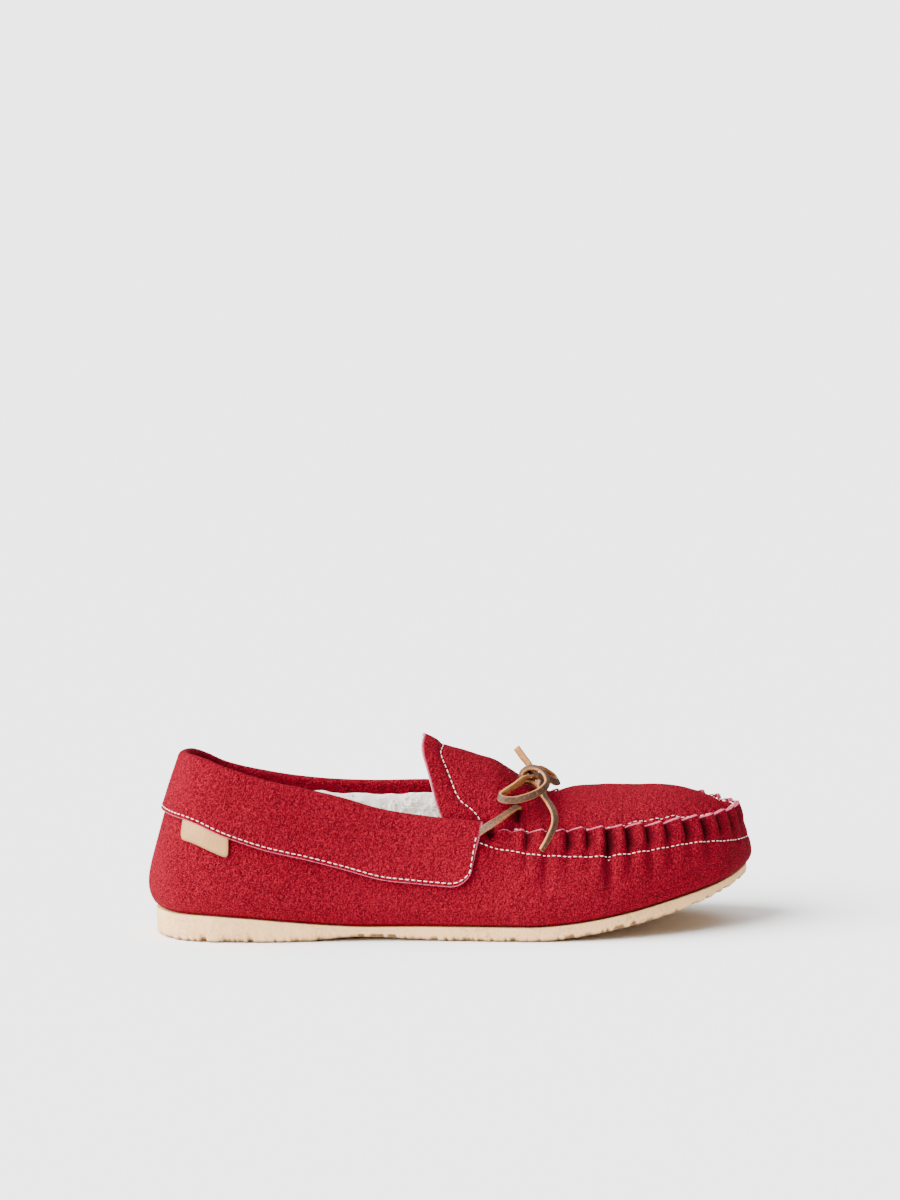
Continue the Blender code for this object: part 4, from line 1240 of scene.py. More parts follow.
def tongue_grid(share, rows):
    """The tongue's upper face as a grid from its front to its free edge, and each point's way to that edge."""
    throats = []
    for throat in (LATERAL_THROAT, MEDIAL_THROAT):
        wall = Wall([throat])
        offset, height = wall.profile(1.0)
        throats.append(wall.place(offset - RIDGE_WIDTH, height)[0])
    corners = (
        np.array([TONGUE_CORNER, -TONGUE_LATERAL, TONGUE_LATERAL_HEIGHT]),
        np.array([TONGUE_CORNER, TONGUE_MEDIAL, TONGUE_MEDIAL_HEIGHT]),
    )
    shoulder = hump(np.minimum(share, 1 - share), SHOULDER_SHARE, SHOULDER_WIDTH)
    back = TONGUE_CORNER + (TONGUE_PEAK - TONGUE_CORNER) * dome(share) ** 0.5 - TONGUE_SHOULDER * shoulder
    front = throats[0][0] * (1 - share) + throats[1][0] * share
    grid = []
    for v in np.linspace(0, 1, rows):
        left, right = (throats[k] * (1 - v) + corners[k] * v for k in (0, 1))
        row = left * (1 - share)[:, None] + right * share[:, None]
        row[:, 0] = front * (1 - v) + back * v
        row[:, 2] += (crest(row[:, 0]) - (left[2] + right[2]) / 2) * dome(share)
        grid.append(row)
    grid[0] = grid[1] + (grid[0] - grid[1]) * TUCK_LENGTH - (0, 0, TUCK_DROP)
    grid = np.array(grid)
    way = np.min(np.linalg.norm(grid[:, :, None] - grid[-1][None, None, :, :], axis=-1), axis=2)
    return grid, way


def tongue_seam(share):
    """How far inside the tongue's cut edge its stitches run: further at both sides."""
    side = np.minimum(share, 1 - share)
    return 9.5 + 5.6 * (1 - ease(0, 0.15, side)) - 1.1 * hump(side, 0.3, 0.13)


def tongue(sizes):
    """The tongue's suede with its cut edge and the shallow channel of its stitches, and its fleece."""
    share = np.linspace(0, 1, TONGUE_COLUMNS)
    grid, way = tongue_grid(share, TONGUE_ROWS)
    faces = grid_faces(TONGUE_ROWS, TONGUE_COLUMNS)
    flat = grid.reshape(-1, 3)
    normals = grid_normals(flat, TONGUE_ROWS, TONGUE_COLUMNS)
    away = way.reshape(-1)
    side = way_from_side(grid).reshape(-1)
    seam = np.tile(tongue_seam(share), TONGUE_ROWS)
    push = plug_slack(flat, sizes) * ease(0, 6, side)
    push -= CHANNEL_DEPTH * hump(away, seam, CHANNEL_WIDTH)
    push += HEM_SWELL * hump(away, HEM_AT, HEM_WIDTH)
    flat = flat + normals * push[:, None]
    pit = hump(side, 0, PIT_WIDTH, 4) * ease(*PIT_START, flat[:, 0]) * (1 - ease(*PIT_END, flat[:, 0]))
    flat[:, 2] -= PIT_DEPTH * pit
    # Painted shade in the stitch channel and in the pits under the cuff.
    crease = 0.3 * hump(away, seam, 0.6) + pit
    marks = {"raw_edge": 1 - ease(0.0, 0.9, away), "crease": np.clip(crease, 0, 1)}
    piece = shell("tongue_suede", flat, flat - SUEDE * normals, faces, finish_of("suede"), marks)
    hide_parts("tongue")
    top = flat - (SUEDE + 0.1) * normals
    pile = sizes.fleece_depth * 0.8 * ease(0.5, 3.5, away) + 0.4
    clumps = 0.7 * noise_at(flat, 3.2, sizes.seed + 3, 2)
    below = flat - (SUEDE + pile + clumps * ease(1, 4, away))[:, None] * normals
    lining = shell("tongue_fleece", top, below, faces, finish_of("fleece"))


CUFF_COLUMNS = 300
# Rows of the cuff, as shares of its drop outside, degrees round its fold, and shares of its band inside.
CUFF_OUTSIDE = (1.0, 0.985, 0.95, 0.88, 0.78, 0.66, 0.54, 0.42, 0.31, 0.2, 0.1, 0.0)
CUFF_FOLD = (30, 55, 75, 90, 105, 125, 150)
CUFF_INSIDE = (0.0, 0.2, 0.4, 0.6, 0.8, 0.95, 1.0)
CUFF_FLARE = 0.25
CUFF_RIPPLE = 0.35
CUFF_RIPPLE_SIZE = 18.0
CUFF_SEED = 5


def cuff_ends():
    """Distances from the heel to the cuff's front ends, negative on the medial side."""
    return distance_at(CUFF_FRONT, False) - TOTAL, distance_at(CUFF_FRONT, True)


def cuff_depth(distances):
    """Drop of the cuff's outer band below the rim, rounded off towards both front ends."""
    low, high = cuff_ends()
    along = on_outline(distances)[0][:, 0] / SOLE_LENGTH
    from_end = np.minimum(distances - low, high - distances)
    turn = np.clip(1 - from_end / CUFF_CORNER, 0, 1)
    return BACK_HEIGHT * column(RIM, "cuff", along) - CUFF_CORNER * (1 - np.sqrt(1 - turn * turn))


def cuff_band(distances, down, near, sizes):
    """Points on the cuff's outer band at a share of its drop, `near` millimetres off the tub's wall."""
    low, high = cuff_ends()
    from_end = np.minimum(distances - low, high - distances)
    side = np.sign(low + high - 2 * distances)
    leaning = Wall(distances + side * CUFF_LEAN * down * np.clip(1 - from_end / CUFF_LEAN_REACH, 0, 1))
    share = 1 - cuff_depth(distances) * down / leaning.height
    relief, _ = wall_relief(leaning, share, sizes)
    ripple = noise_at(leaning.place(np.zeros(len(distances)), share * 30), CUFF_RIPPLE_SIZE, CUFF_SEED, 2)
    flare = CUFF_FLARE * ease(0.7, 1, down) + CUFF_RIPPLE * ripple
    return leaning.layer(share, -near - relief - np.abs(flare) * ease(0.1, 0.6, down))


def collar_cuff(sizes):
    """The suede band folded over the rim, with a soft fold and a cut lower edge."""
    distances = np.linspace(*cuff_ends(), CUFF_COLUMNS)
    wall = Wall(distances)
    relief, _ = wall_relief(wall, 1.0, sizes)
    offset, z = wall.profile(1.0)
    out, up = wall.facing(1.0)
    fold_in = CUFF_FOLD_IN / wall.height
    layers = []
    for near in (GAP + SUEDE, GAP):
        rows = [cuff_band(distances, down, near, sizes) for down in CUFF_OUTSIDE]
        for angle in CUFF_FOLD:
            turn = math.radians(angle)
            across = (SUEDE / 2 + near) * math.cos(turn) - SUEDE / 2 + relief
            over = (SUEDE / 2 + near) * math.sin(turn)
            rows.append(wall.place(offset + across * out - over * up, z + across * up + over * out))
        for down in CUFF_INSIDE:
            rows.append(wall.layer(1 - fold_in * down, SUEDE + near - relief * (1 - down)))
        layers.append(np.vstack(rows))
    raw = np.zeros((len(rows), CUFF_COLUMNS))
    raw[0] = 1.0
    raw[:, [0, -1]] = 0.7
    marks = {"raw_edge": raw.ravel(), "crease": np.zeros(raw.size)}
    piece = shell("cuff_suede", *layers, grid_faces(*raw.shape), finish_of("suede"), marks)
    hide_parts("collar_cuff")


SOLE_COLUMNS = 1240
SOLE_SIDE_ROWS = (0.4, 0.52, 0.64, 0.76, 0.87, 0.95)
# How far the flat rings of the sole's two faces lie inside its outline.
SOLE_FACE_INSET = 9.0
# The torn lower edge: how deep its bites go, how long they are, and how long the stretches that have more of them.
BITE_DEPTH = 3.2
BITE_LIMIT = 1.7
BITE_SIZE = 2.5
BITE_STRETCH = 15.0


def crepe_sole(sizes):
    """The crepe sheet: cut sides, a crumbling lower edge and a smooth upper face."""
    distance = np.linspace(0, TOTAL, SOLE_COLUMNS + 1)[:-1]
    point, normal = on_outline(distance)
    count = len(distance)
    around = np.column_stack([point, np.zeros(count)])
    bite = np.clip(noise_at(around, BITE_SIZE, sizes.seed + 4, 2) * BITE_DEPTH + 0.35, 0, BITE_LIMIT)
    bite *= 0.55 + 0.45 * noise_at(around, BITE_STRETCH, sizes.seed + 13, 1)
    fine = noise_at(around, 1.2, sizes.seed + 5, 2)
    sway = noise_at(around, 30.0, sizes.seed + 6, 2)
    bottom = sole_bottom(point[:, 0])
    top = sole_top(point[:, 0])
    inside = (point - normal * SOLE_FACE_INSET)[:, 0]
    rows, painted_bottom_shade = [], []

    def ring(offset, z, mark):
        rows.append(np.column_stack([point + normal * np.broadcast_to(offset, count)[:, None], z]))
        painted_bottom_shade.append(np.broadcast_to(mark, count))

    # Each ring's last number is its painted shade: the underside and the torn lower edge are darkened as if in
    # shadow.
    ring(-SOLE_FACE_INSET, sole_bottom(inside), 0.5)
    ring(-3.2, bottom, 0.5)
    ring(-2.2 - 0.5 * bite, bottom, 0.5)
    ring(-0.9 - 1.1 * bite, bottom + 0.15 + 0.5 * bite, 0.75 + 0.14 * bite)
    ring(-0.2 - 0.7 * bite + 0.15 * fine, bottom + 0.75 + 0.8 * bite, 0.3 + 0.4 * bite)
    ring(0.1 - 0.25 * bite + 0.2 * fine, bottom + 1.35 + 0.9 * bite, 0.25 * bite)
    for share in SOLE_SIDE_ROWS:
        crumb = 0.16 * noise_at(around + (0, 0, share * 9), 2.2, sizes.seed + 7, 2)
        ring(0.12 * sway + crumb, bottom + (top - bottom) * share, 0.0)
    ring(0.1 * sway - 0.15, top, 0.0)
    ring(-1.2, top + 0.02, 0.0)
    ring(-SOLE_FACE_INSET, sole_top(inside), 0.0)
    faces = [tuple(face) for face in grid_faces(len(rows), count, closed=True)]
    faces += [face[::-1] for face in strip_across(0, count)]
    faces += strip_across((len(rows) - 1) * count, count)
    piece = new_piece("crepe_sole", np.vstack(rows), faces, finish_of("crepe"), {"painted_bottom_shade": np.concatenate(painted_bottom_shade)})
    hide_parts("outsole")


def strip_across(start, count):
    """Faces that close a long ring of points with a strip of quads from side to side, facing up."""
    faces = []
    for k in range(count // 2):
        quad = [start + k, start + k + 1, start + (count - k - 2) % count, start + (count - k - 1) % count]
        corners = list(dict.fromkeys(quad))
        if len(corners) > 2:
            faces.append(tuple(corners))
    return faces


LINING_COLUMNS = 520
LINING_ROWS = 46
LINING_FRONT = 196.0
LINING_FOOT = 0.03
LINING_GAP = 0.15


def fleece_lining(sizes):
    """The pile inside the tub's wall, from the footbed up to the cuff's inner band and on under the apron."""
    ends = distance_at(LINING_FRONT, False) - TOTAL, distance_at(LINING_FRONT, True)
    wall = Wall(np.linspace(*ends, LINING_COLUMNS))
    along = wall.point[:, 0]
    thick = sizes.fleece_depth * (1 + 1.2 * ease(28, 62, along))
    swell = noise_at(np.column_stack([wall.point, np.zeros(LINING_COLUMNS)]), 9.0, sizes.seed + 5, 2)
    top = 1 - (CUFF_FOLD_IN - 3.0 - 8.4 * ease(22, 60, along) - 1.1 * swell) / wall.height
    top = np.minimum(top, 1.0 - 0.30 * ease(THROAT - 26, THROAT - 16, along))
    shares = 1 - np.linspace(1, 0, LINING_ROWS) ** 1.4
    outer, inner = [], []
    for share in shares:
        at = LINING_FOOT + (top - LINING_FOOT) * share
        face = wall.layer(at, 0)
        clumps = noise_at(face, 5.5, sizes.seed + 8, 3)
        curls = noise_at(face, 2.4, sizes.seed + 9, 2)
        full = (1 - share) ** 0.45 * min(1.0, 30 * (1 - share))
        pile = (thick + 1.5 * clumps + 0.35 * curls) * full + 0.1
        inner.append(wall.layer(at, SUEDE + LINING_GAP))
        outer.append(wall.layer(at, SUEDE + LINING_GAP + pile))
    inner, outer = np.vstack(inner), np.vstack(outer)
    faces = grid_faces(LINING_ROWS, LINING_COLUMNS)[:, ::-1]
    piece = shell("fleece_lining", outer, inner, faces, finish_of("fleece"))
    low = np.repeat(shares, LINING_COLUMNS)
    seen = ease(0.25, 0.45, low) * (1 - ease(0.88, 0.97, low))
    seen *= 1 - ease(150, 160, np.tile(along, LINING_ROWS))
    return piece, np.concatenate([seen, np.zeros(len(inner))])


FOOTBED_COLUMNS = 359
FOOTBED_ROWS = 30
# The line that the footbed's rows close on: where it starts and ends along the sole, and how it bends to the toe.
FOOTBED_MIDDLE = (42, 214)
FOOTBED_BEND = ((0, 120, 255), (0, 0, 5))


def fleece_footbed(sizes):
    """The pile on the footbed, over the insole board."""
    point, normal = on_outline(np.linspace(0, TOTAL, FOOTBED_COLUMNS + 1)[:-1])
    rim = point - normal * (FOOT_INSET + SUEDE + 0.5)
    middle = np.column_stack([np.clip(point[:, 0], *FOOTBED_MIDDLE), np.interp(point[:, 0], *FOOTBED_BEND)])
    board = GAP * 2 + SUEDE
    rows = [np.column_stack([line, sole_top(line[:, 0]) + board]) for line in (middle, rim)]
    for share in np.linspace(0, 1, FOOTBED_ROWS):
        at = rim * (1 - share) + middle * share
        edge = math.sqrt(1 - (1 - min(share / 0.06, 1.0)) ** 2)
        flat = np.column_stack([at, sole_top(at[:, 0]) + board + INSOLE_THICKNESS * (0.45 + 0.55 * edge)])
        flat[:, 2] += 0.75 * noise_at(flat, 4.0, sizes.seed + 10, 3) * (1 - 0.9 * share)
        rows.append(flat)
    faces = grid_faces(len(rows), FOOTBED_COLUMNS, closed=True)
    piece = new_piece("fleece_footbed", np.vstack(rows), faces, finish_of("fleece"))
    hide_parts("insole")
    return piece, np.repeat([0.0] * 4 + [1.0] * (len(rows) - 4), FOOTBED_COLUMNS)


TAB_COLUMNS = 40
# Rows of the tab, as shares of its depth below the cuff's edge, and their distance from its lower edge.
TabRow = namedtuple("TabRow", "down edge")
TAB_ROWS = (
    TabRow(1.0, 0.0),
    TabRow(0.97, 0.3),
    TabRow(0.85, 1.2),
    TabRow(0.6, 3.2),
    TabRow(0.3, 5.6),
    TabRow(0.0, 8.0),
    TabRow(-0.25, 10.0),
)


def side_tab(sizes):
    """A plain leather tab sewn under the cuff's lower edge, with rounded lower corners."""
    across = np.linspace(0, 1, TAB_COLUMNS)
    wall = Wall(distance_at(TAB_START, True) + TAB_LENGTH * across)
    drop = BACK_HEIGHT * column(RIM, "cuff", wall.along) + GAP
    from_end = TAB_LENGTH * np.minimum(across, 1 - across)
    corner = np.maximum(TAB_CORNER - from_end, 0)
    depth = TAB_DEPTH - (TAB_CORNER - np.sqrt(np.maximum(TAB_CORNER**2 - corner**2, 0)))
    layers = []
    for thickness in (TAB_THICKNESS, 0.0):
        rows = []
        for row in TAB_ROWS:
            share = 1 - (drop + depth * row.down) / wall.height
            relief, _ = wall_relief(wall, share, sizes)
            soft = 0.2 * ease(0.9, 1.0, row.down) if thickness else 0.0
            lift = thickness * (1 if row.down >= 0 else 0.5)
            rows.append(wall.layer(share, -GAP * 0.4 - relief - lift + soft))
        layers.append(np.vstack(rows))
    low = np.array([row.edge for row in TAB_ROWS])[:, None] * np.ones(TAB_COLUMNS)
    border = 1 - ease(0.2, 0.9, np.minimum(low, from_end[None, :]))
    faces = grid_faces(len(TAB_ROWS), TAB_COLUMNS)
    piece = shell("side_tab_leather", *layers, faces, finish_of("tab"), {"worn": border.ravel()})
    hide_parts("side_tab")


STRAP_STEP = 0.8


def strap_line(points):
    """The smooth middle line through a strap's points, and the way its grain side faces there."""
    table = np.array([tuple(point) for point in points])
    gaps = np.linalg.norm(np.diff(table[:, :3], axis=0), axis=1)
    chord = np.concatenate([[0], np.cumsum(np.sqrt(gaps))])
    at = np.linspace(0, chord[-1], int(gaps.sum() / STRAP_STEP))
    line = np.column_stack([smooth(chord, table[:, i], at) for i in range(3)])
    face = np.column_stack([np.interp(at, chord, table[:, i]) for i in range(3, 6)])
    forward = np.gradient(line, axis=0)
    forward /= np.linalg.norm(forward, axis=1)[:, None]
    face -= forward * np.sum(face * forward, axis=1)[:, None]
    face /= np.linalg.norm(face, axis=1)[:, None]
    return line, forward, face


# A strap's outline across, as shares of its width and its thickness, and how pale the leather is there.
StrapEdge = namedtuple("StrapEdge", "across over pale")
STRAP_SECTION = [
    StrapEdge(-0.44, 0.50, 0.55),
    StrapEdge(-0.36, 0.50, 0.0),
    StrapEdge(0.0, 0.54, 0.0),
    StrapEdge(0.36, 0.50, 0.0),
    StrapEdge(0.44, 0.50, 0.55),
    StrapEdge(0.50, 0.30, 1.0),
    StrapEdge(0.50, -0.30, 1.0),
    StrapEdge(0.44, -0.48, 1.0),
    StrapEdge(0.0, -0.50, 1.0),
    StrapEdge(-0.44, -0.48, 1.0),
    StrapEdge(-0.50, -0.30, 1.0),
    StrapEdge(-0.50, 0.30, 1.0),
]
WIDTH_VARIATION = 0.07
EDGE_VARIATION = 0.05


def knot_turns():
    """The points of the turns that tie the knot."""
    axis = np.array(KNOT_AXIS) / np.linalg.norm(KNOT_AXIS)
    first = np.cross(axis, (1.0, 0.0, 0.0))
    first /= np.linalg.norm(first)
    second = np.cross(axis, first)
    points = []
    for turn in np.linspace(0, KNOT_TURNS, int(KNOT_TURNS * KNOT_POINTS)):
        out = first * math.cos(2 * math.pi * turn) + second * math.sin(2 * math.pi * turn)
        place = np.array(KNOT_CENTRE) + out * KNOT_RADIUS + axis * KNOT_PITCH * (turn - KNOT_TURNS / 2)
        points.append(StrapPoint(*place, *out))
    return points


def strap(name, points, sizes, *replaced):
    """A flat leather lace along a line; returns it and its middle line in millimetres on the last."""
    line, forward, face = strap_line(points)
    side = np.cross(forward, face)
    count = len(line)
    width = LACE_WIDTH * (1 + WIDTH_VARIATION * noise_at(line, 6.0, sizes.seed + 11, 2))
    rings = []
    for edge in STRAP_SECTION:
        nick = EDGE_VARIATION * noise_at(line + side * edge.across * 9, 1.6, sizes.seed + 12, 2)
        over = (edge.over + nick) * LACE_THICKNESS
        rings.append(line + side * (edge.across * width)[:, None] + face * over[:, None])
    section = len(STRAP_SECTION)
    faces = [tuple(quad[::-1]) for quad in grid_faces(count, section, closed=True)]
    faces.append(tuple(range(section)))
    faces.append(tuple((count - 1) * section + k for k in reversed(range(section))))
    marks = {"flesh": np.tile([edge.pale for edge in STRAP_SECTION], count)}
    piece = new_piece(name, np.stack(rings, axis=1).reshape(-1, 3), faces, finish_of("lace"), marks)
    bm = bmesh.new()
    bm.from_mesh(piece.data)
    bmesh.ops.recalc_face_normals(bm, faces=bm.faces)
    bm.to_mesh(piece.data)
    bm.free()
    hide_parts(*replaced)
    return piece, line


def bow_half(name, points, sizes, *replaced):
    """One half of the bow, a loop and an end: a free lace of the length that its line has."""
    piece, line = strap(name, points, sizes, *replaced)


def new_group(name, base, numbers, made):
    """A Geometry Nodes group with named inputs: its base's geometry, and numbers with their defaults."""
    tree = bpy.data.node_groups.new(name, "GeometryNodeTree")
    tree.interface.new_socket(base, in_out="INPUT", socket_type="NodeSocketGeometry")
    for key, default in numbers.items():
        kind = "NodeSocketInt" if isinstance(default, int) else "NodeSocketFloat"
        tree.interface.new_socket(key, in_out="INPUT", socket_type=kind).default_value = default
    tree.interface.new_socket(made, in_out="OUTPUT", socket_type="NodeSocketGeometry")
    return tree, tree.nodes.new("NodeGroupInput").outputs


def scatter(tree, points, instance, rotation, scale, finish):
    """Ends a group: a copy of the instance at each point, realized, in its material."""
    placed = {"Points": points, "Instance": instance, "Rotation": rotation, "Scale": scale}
    copies = add_node(tree, "GeometryNodeInstanceOnPoints", placed)
    real = add_node(tree, "GeometryNodeRealizeInstances", {"Geometry": copies.outputs[0]})
    dressed = add_node(tree, "GeometryNodeSetMaterial", {"Geometry": real.outputs[0], "Material": finish})
    tree.links.new(dressed.outputs[0], tree.nodes.new("NodeGroupOutput").inputs[0])
    return tree


def stitch_tree(finish):
    """A Geometry Nodes group that lays a row of thread stitches along a line of edges."""
    numbers = {"Pitch": 0.0026, "Stitch Length": 0.0019, "Thread Width": 0.0005, "Unevenness": 0.12, "Seed": 1}
    tree, given = new_group("stitch row", "Line", numbers, "Stitches")
    curve = add_node(tree, "GeometryNodeMeshToCurve", {"Mesh": given["Line"]})
    spacing = {"Curve": curve.outputs[0], "Length": given["Pitch"]}
    spaced = add_node(tree, "GeometryNodeResampleCurve", spacing, {"mode": "LENGTH"})
    tangent = add_node(tree, "GeometryNodeInputTangent")
    aim = add_node(tree, "FunctionNodeAlignEulerToVector", {"Vector": tangent.outputs[0]}, {"axis": "Z"})
    ball = add_node(tree, "GeometryNodeMeshUVSphere", {"Segments": 8, "Rings": 6, "Radius": 0.5})
    stitch = add_node(tree, "GeometryNodeSetShadeSmooth", {"Geometry": ball.outputs["Mesh"]})
    ends = {}
    for end, operation in ((2, "SUBTRACT"), (3, "ADD")):
        terms = {0: 1.0, 1: given["Unevenness"]}
        ends[end] = add_node(tree, "ShaderNodeMath", terms, {"operation": operation}).outputs[0]
    vary = add_node(tree, "FunctionNodeRandomValue", {**ends, 8: given["Seed"]}, {"data_type": "FLOAT"})
    terms = {0: given["Stitch Length"], 1: vary.outputs[1]}
    long = add_node(tree, "ShaderNodeMath", terms, {"operation": "MULTIPLY"})
    axes = {"X": given["Thread Width"], "Y": given["Thread Width"], "Z": long.outputs[0]}
    size = add_node(tree, "ShaderNodeCombineXYZ", axes)
    return scatter(tree, spaced.outputs[0], stitch.outputs[0], aim.outputs[0], size.outputs[0], finish)


def lock_tree(finish):
    """A Geometry Nodes group that scatters curled locks of wool over a mesh, where it is marked as woolly."""
    numbers = {"Density": 100000.0, "Lock Length": 0.0026, "Lock Width": 0.0009, "Seed": 1}
    tree, given = new_group("pile locks", "Pile", numbers, "Locks")
    woolly = add_node(tree, "GeometryNodeInputNamedAttribute", {"Name": "woolly"}, {"data_type": "FLOAT"})
    terms = {0: given["Density"], 1: woolly.outputs["Attribute"]}
    dense = add_node(tree, "ShaderNodeMath", terms, {"operation": "MULTIPLY"})
    where = {"Mesh": given["Pile"], "Density": dense.outputs[0], "Seed": given["Seed"]}
    spots = add_node(tree, "GeometryNodeDistributePointsOnFaces", where).outputs
    curl = {"Resolution": 4, "Start": (0, 0, -0.2), "Middle": (0.1, 0, 0.75), "End": (0.8, 0.1, 0.45)}
    hair = add_node(tree, "GeometryNodeCurveQuadraticBezier", curl)
    even = add_node(tree, "GeometryNodeSetCurveRadius", {"Curve": hair.outputs[0], "Radius": 1.0})
    terms = {0: given["Lock Width"], 1: given["Lock Length"]}
    narrow = add_node(tree, "ShaderNodeMath", terms, {"operation": "DIVIDE"})
    ring = {"Resolution": 3, "Radius": narrow.outputs[0]}
    ring = add_node(tree, "GeometryNodeCurvePrimitiveCircle", ring, {"mode": "RADIUS"})
    form = {"Curve": even.outputs[0], "Profile Curve": ring.outputs[0], "Fill Caps": True}
    tube = add_node(tree, "GeometryNodeCurveToMesh", form)
    lock = add_node(tree, "GeometryNodeSetShadeSmooth", {"Geometry": tube.outputs[0]})
    full_turn = {2: 0.0, 3: 2 * math.pi, 8: given["Seed"]}
    turn = add_node(tree, "FunctionNodeRandomValue", full_turn, {"data_type": "FLOAT"})
    spin = add_node(tree, "ShaderNodeCombineXYZ", {"Z": turn.outputs[1]})
    turns = {"Rotation": spots["Rotation"], "Rotate By": spin.outputs[0]}
    lean = add_node(tree, "FunctionNodeRotateEuler", turns, {"space": "LOCAL"})
    lengths = {2: 0.6, 3: 1.25, 8: given["Seed"]}
    vary = add_node(tree, "FunctionNodeRandomValue", lengths, {"data_type": "FLOAT"})
    terms = {0: given["Lock Length"], 1: vary.outputs[1]}
    size = add_node(tree, "ShaderNodeMath", terms, {"operation": "MULTIPLY"})
    return scatter(tree, spots["Points"], lock.outputs[0], lean.outputs[0], size.outputs[0], finish)


def grown_piece(name, mesh, tree, values):
    """A piece made by a Geometry Nodes group on a mesh, kept as a plain mesh."""
    piece = bpy.data.objects.new(name, mesh)
    bpy.context.scene.collection.objects.link(piece)
    modifier = piece.modifiers.new(tree.name, "NODES")
    modifier.node_group = tree
    for socket in tree.interface.items_tree:
        if socket.in_out == "INPUT" and socket.name in values:
            modifier[socket.identifier] = values[socket.name]
    bpy.context.view_layer.update()
    seen = piece.evaluated_get(bpy.context.evaluated_depsgraph_get())
    result = bpy.data.meshes.new_from_object(seen)
    piece.modifiers.remove(modifier)
    piece.data = result
    bpy.data.meshes.remove(mesh)
    if not result.polygons:
        raise RuntimeError(f"{name}: the {tree.name} left nothing")
    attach(piece, "root")


STITCH_UNEVENNESS = 0.14


def stitch_row(name, lines, sizes, pitch=None, length=None, width=None):
    """Rows of stitches along lines of points in millimetres on the last."""
    points, edges = [], []
    for line in lines:
        start = len(points)
        points += in_frame(line).tolist()
        edges += [(start + k, start + k + 1) for k in range(len(line) - 1)]
    mesh = bpy.data.meshes.new(name)
    mesh.from_pydata(points, edges, [])
    tree = bpy.data.node_groups.get("stitch row") or stitch_tree(finish_of("thread"))
    values = {
        "Pitch": (pitch or sizes.stitch_pitch) * MM,
        "Stitch Length": (length or sizes.stitch_length) * MM,
        "Thread Width": (width or sizes.thread_width) * MM,
        "Unevenness": STITCH_UNEVENNESS,
        "Seed": sizes.seed,
    }
    grown_piece(name, mesh, tree, values)


LOCK_LENGTH = 2.1
LOCK_WIDTH = 0.26


def tufts(name, base, woolly, density, sizes):
    """Short curled locks scattered over the woolly points of a pile's mesh, so many for each square metre."""
    mesh = base.data.copy()
    mesh.attributes.new("woolly", "FLOAT", "POINT").data.foreach_set("value", np.asarray(woolly, np.float32))
    tree = bpy.data.node_groups.get("pile locks") or lock_tree(finish_of("fleece"))
    shape = {"Lock Length": LOCK_LENGTH * MM, "Lock Width": LOCK_WIDTH * MM}
    grown_piece(name, mesh, tree, {"Density": density, "Seed": sizes.seed, **shape})


# How far the cuff's stitches run inside its cut edge and its front ends, and how high they climb at its ends.
CUFF_SEAM = 1.5
CUFF_SEAM_END = 1.6
CUFF_SEAM_TOP = 0.28


def cuff_stitch_lines(sizes):
    """Just inside the cuff's cut edge, up its rounded front corners."""
    low, high = cuff_ends()
    near = GAP + SUEDE + 0.12
    distances = np.linspace(low + CUFF_SEAM_END, high - CUFF_SEAM_END, 420)
    downs = 1 - CUFF_SEAM / cuff_depth(distances)
    climbs = []
    for end in (0, -1):
        climb = np.linspace(downs[end], CUFF_SEAM_TOP, 24)
        climbs.append(cuff_band(np.full(len(climb), distances[end]), climb, near, sizes))
    return [climbs[0], cuff_band(distances, downs, near, sizes), climbs[1]]


def vamp_stitch_line(sizes):
    """Round the vamp, below the gathers."""
    wall = Wall(np.linspace(LATERAL_THROAT - 10.0, MEDIAL_THROAT + 10.0, 900))
    share = 1 - column(VAMP_STITCHES, "below", wall.along) / wall.height
    relief, _ = wall_relief(wall, share, sizes)
    return wall.layer(share, -relief - 0.1)


def tongue_stitch_line(sizes):
    """Inside the tongue's cut edge, in its channel."""
    share = np.linspace(0, 1, 161)
    grid, way = tongue_grid(share, 80)
    rows = len(grid)
    normals = grid_normals(grid.reshape(-1, 3), rows, len(share)).reshape(grid.shape)
    sides = way_from_side(grid)
    line = []
    for j, seam in enumerate(tongue_seam(share)):
        v = np.interp(seam, way[::-1, j], np.arange(rows)[::-1])
        k = min(int(v), rows - 2)
        point = grid[k, j] * (1 - (v - k)) + grid[k + 1, j] * (v - k)
        push = plug_slack([point], sizes)[0] * float(ease(0, 6, sides[k, j])) - 0.42
        line.append(point + normals[k, j] * push)
    return np.array(line)


# The zigzag round the toe, between a groove of the lateral side and one of the medial side.
ZIGZAG_START = 13.2
ZIGZAG_END = 9.4
ZIGZAG_POINTS = 33


def seam_stitch_line(sizes):
    """A zigzag of thread on the ridge's inner face, round the toe."""
    low, high = groove_distance(ZIGZAG_START, True), groove_distance(ZIGZAG_END, False)
    wall = Wall(np.linspace(low, high, ZIGZAG_POINTS))
    relief, _ = wall_relief(wall, 1.0, sizes)
    offset, z = wall.profile(1.0)
    rise = ridge_height(wall.distance, sizes)
    swing = np.arange(ZIGZAG_POINTS) % 2
    out = -RIDGE_WIDTH - 0.5 + (RIDGE_WIDTH - RIDGE_LEAN - 1.7) * swing
    return wall.place(offset + out + relief * 0.7, z + 0.3 + rise * (0.15 + 0.85 * swing))


# How far the apron's stitches run from the seam, how much further over the toes, and where.
APRON_SEAM = 1.3
APRON_SEAM_WIDENING = 1.5
WIDENING_START = (198, 208)
WIDENING_END = (222, 230)


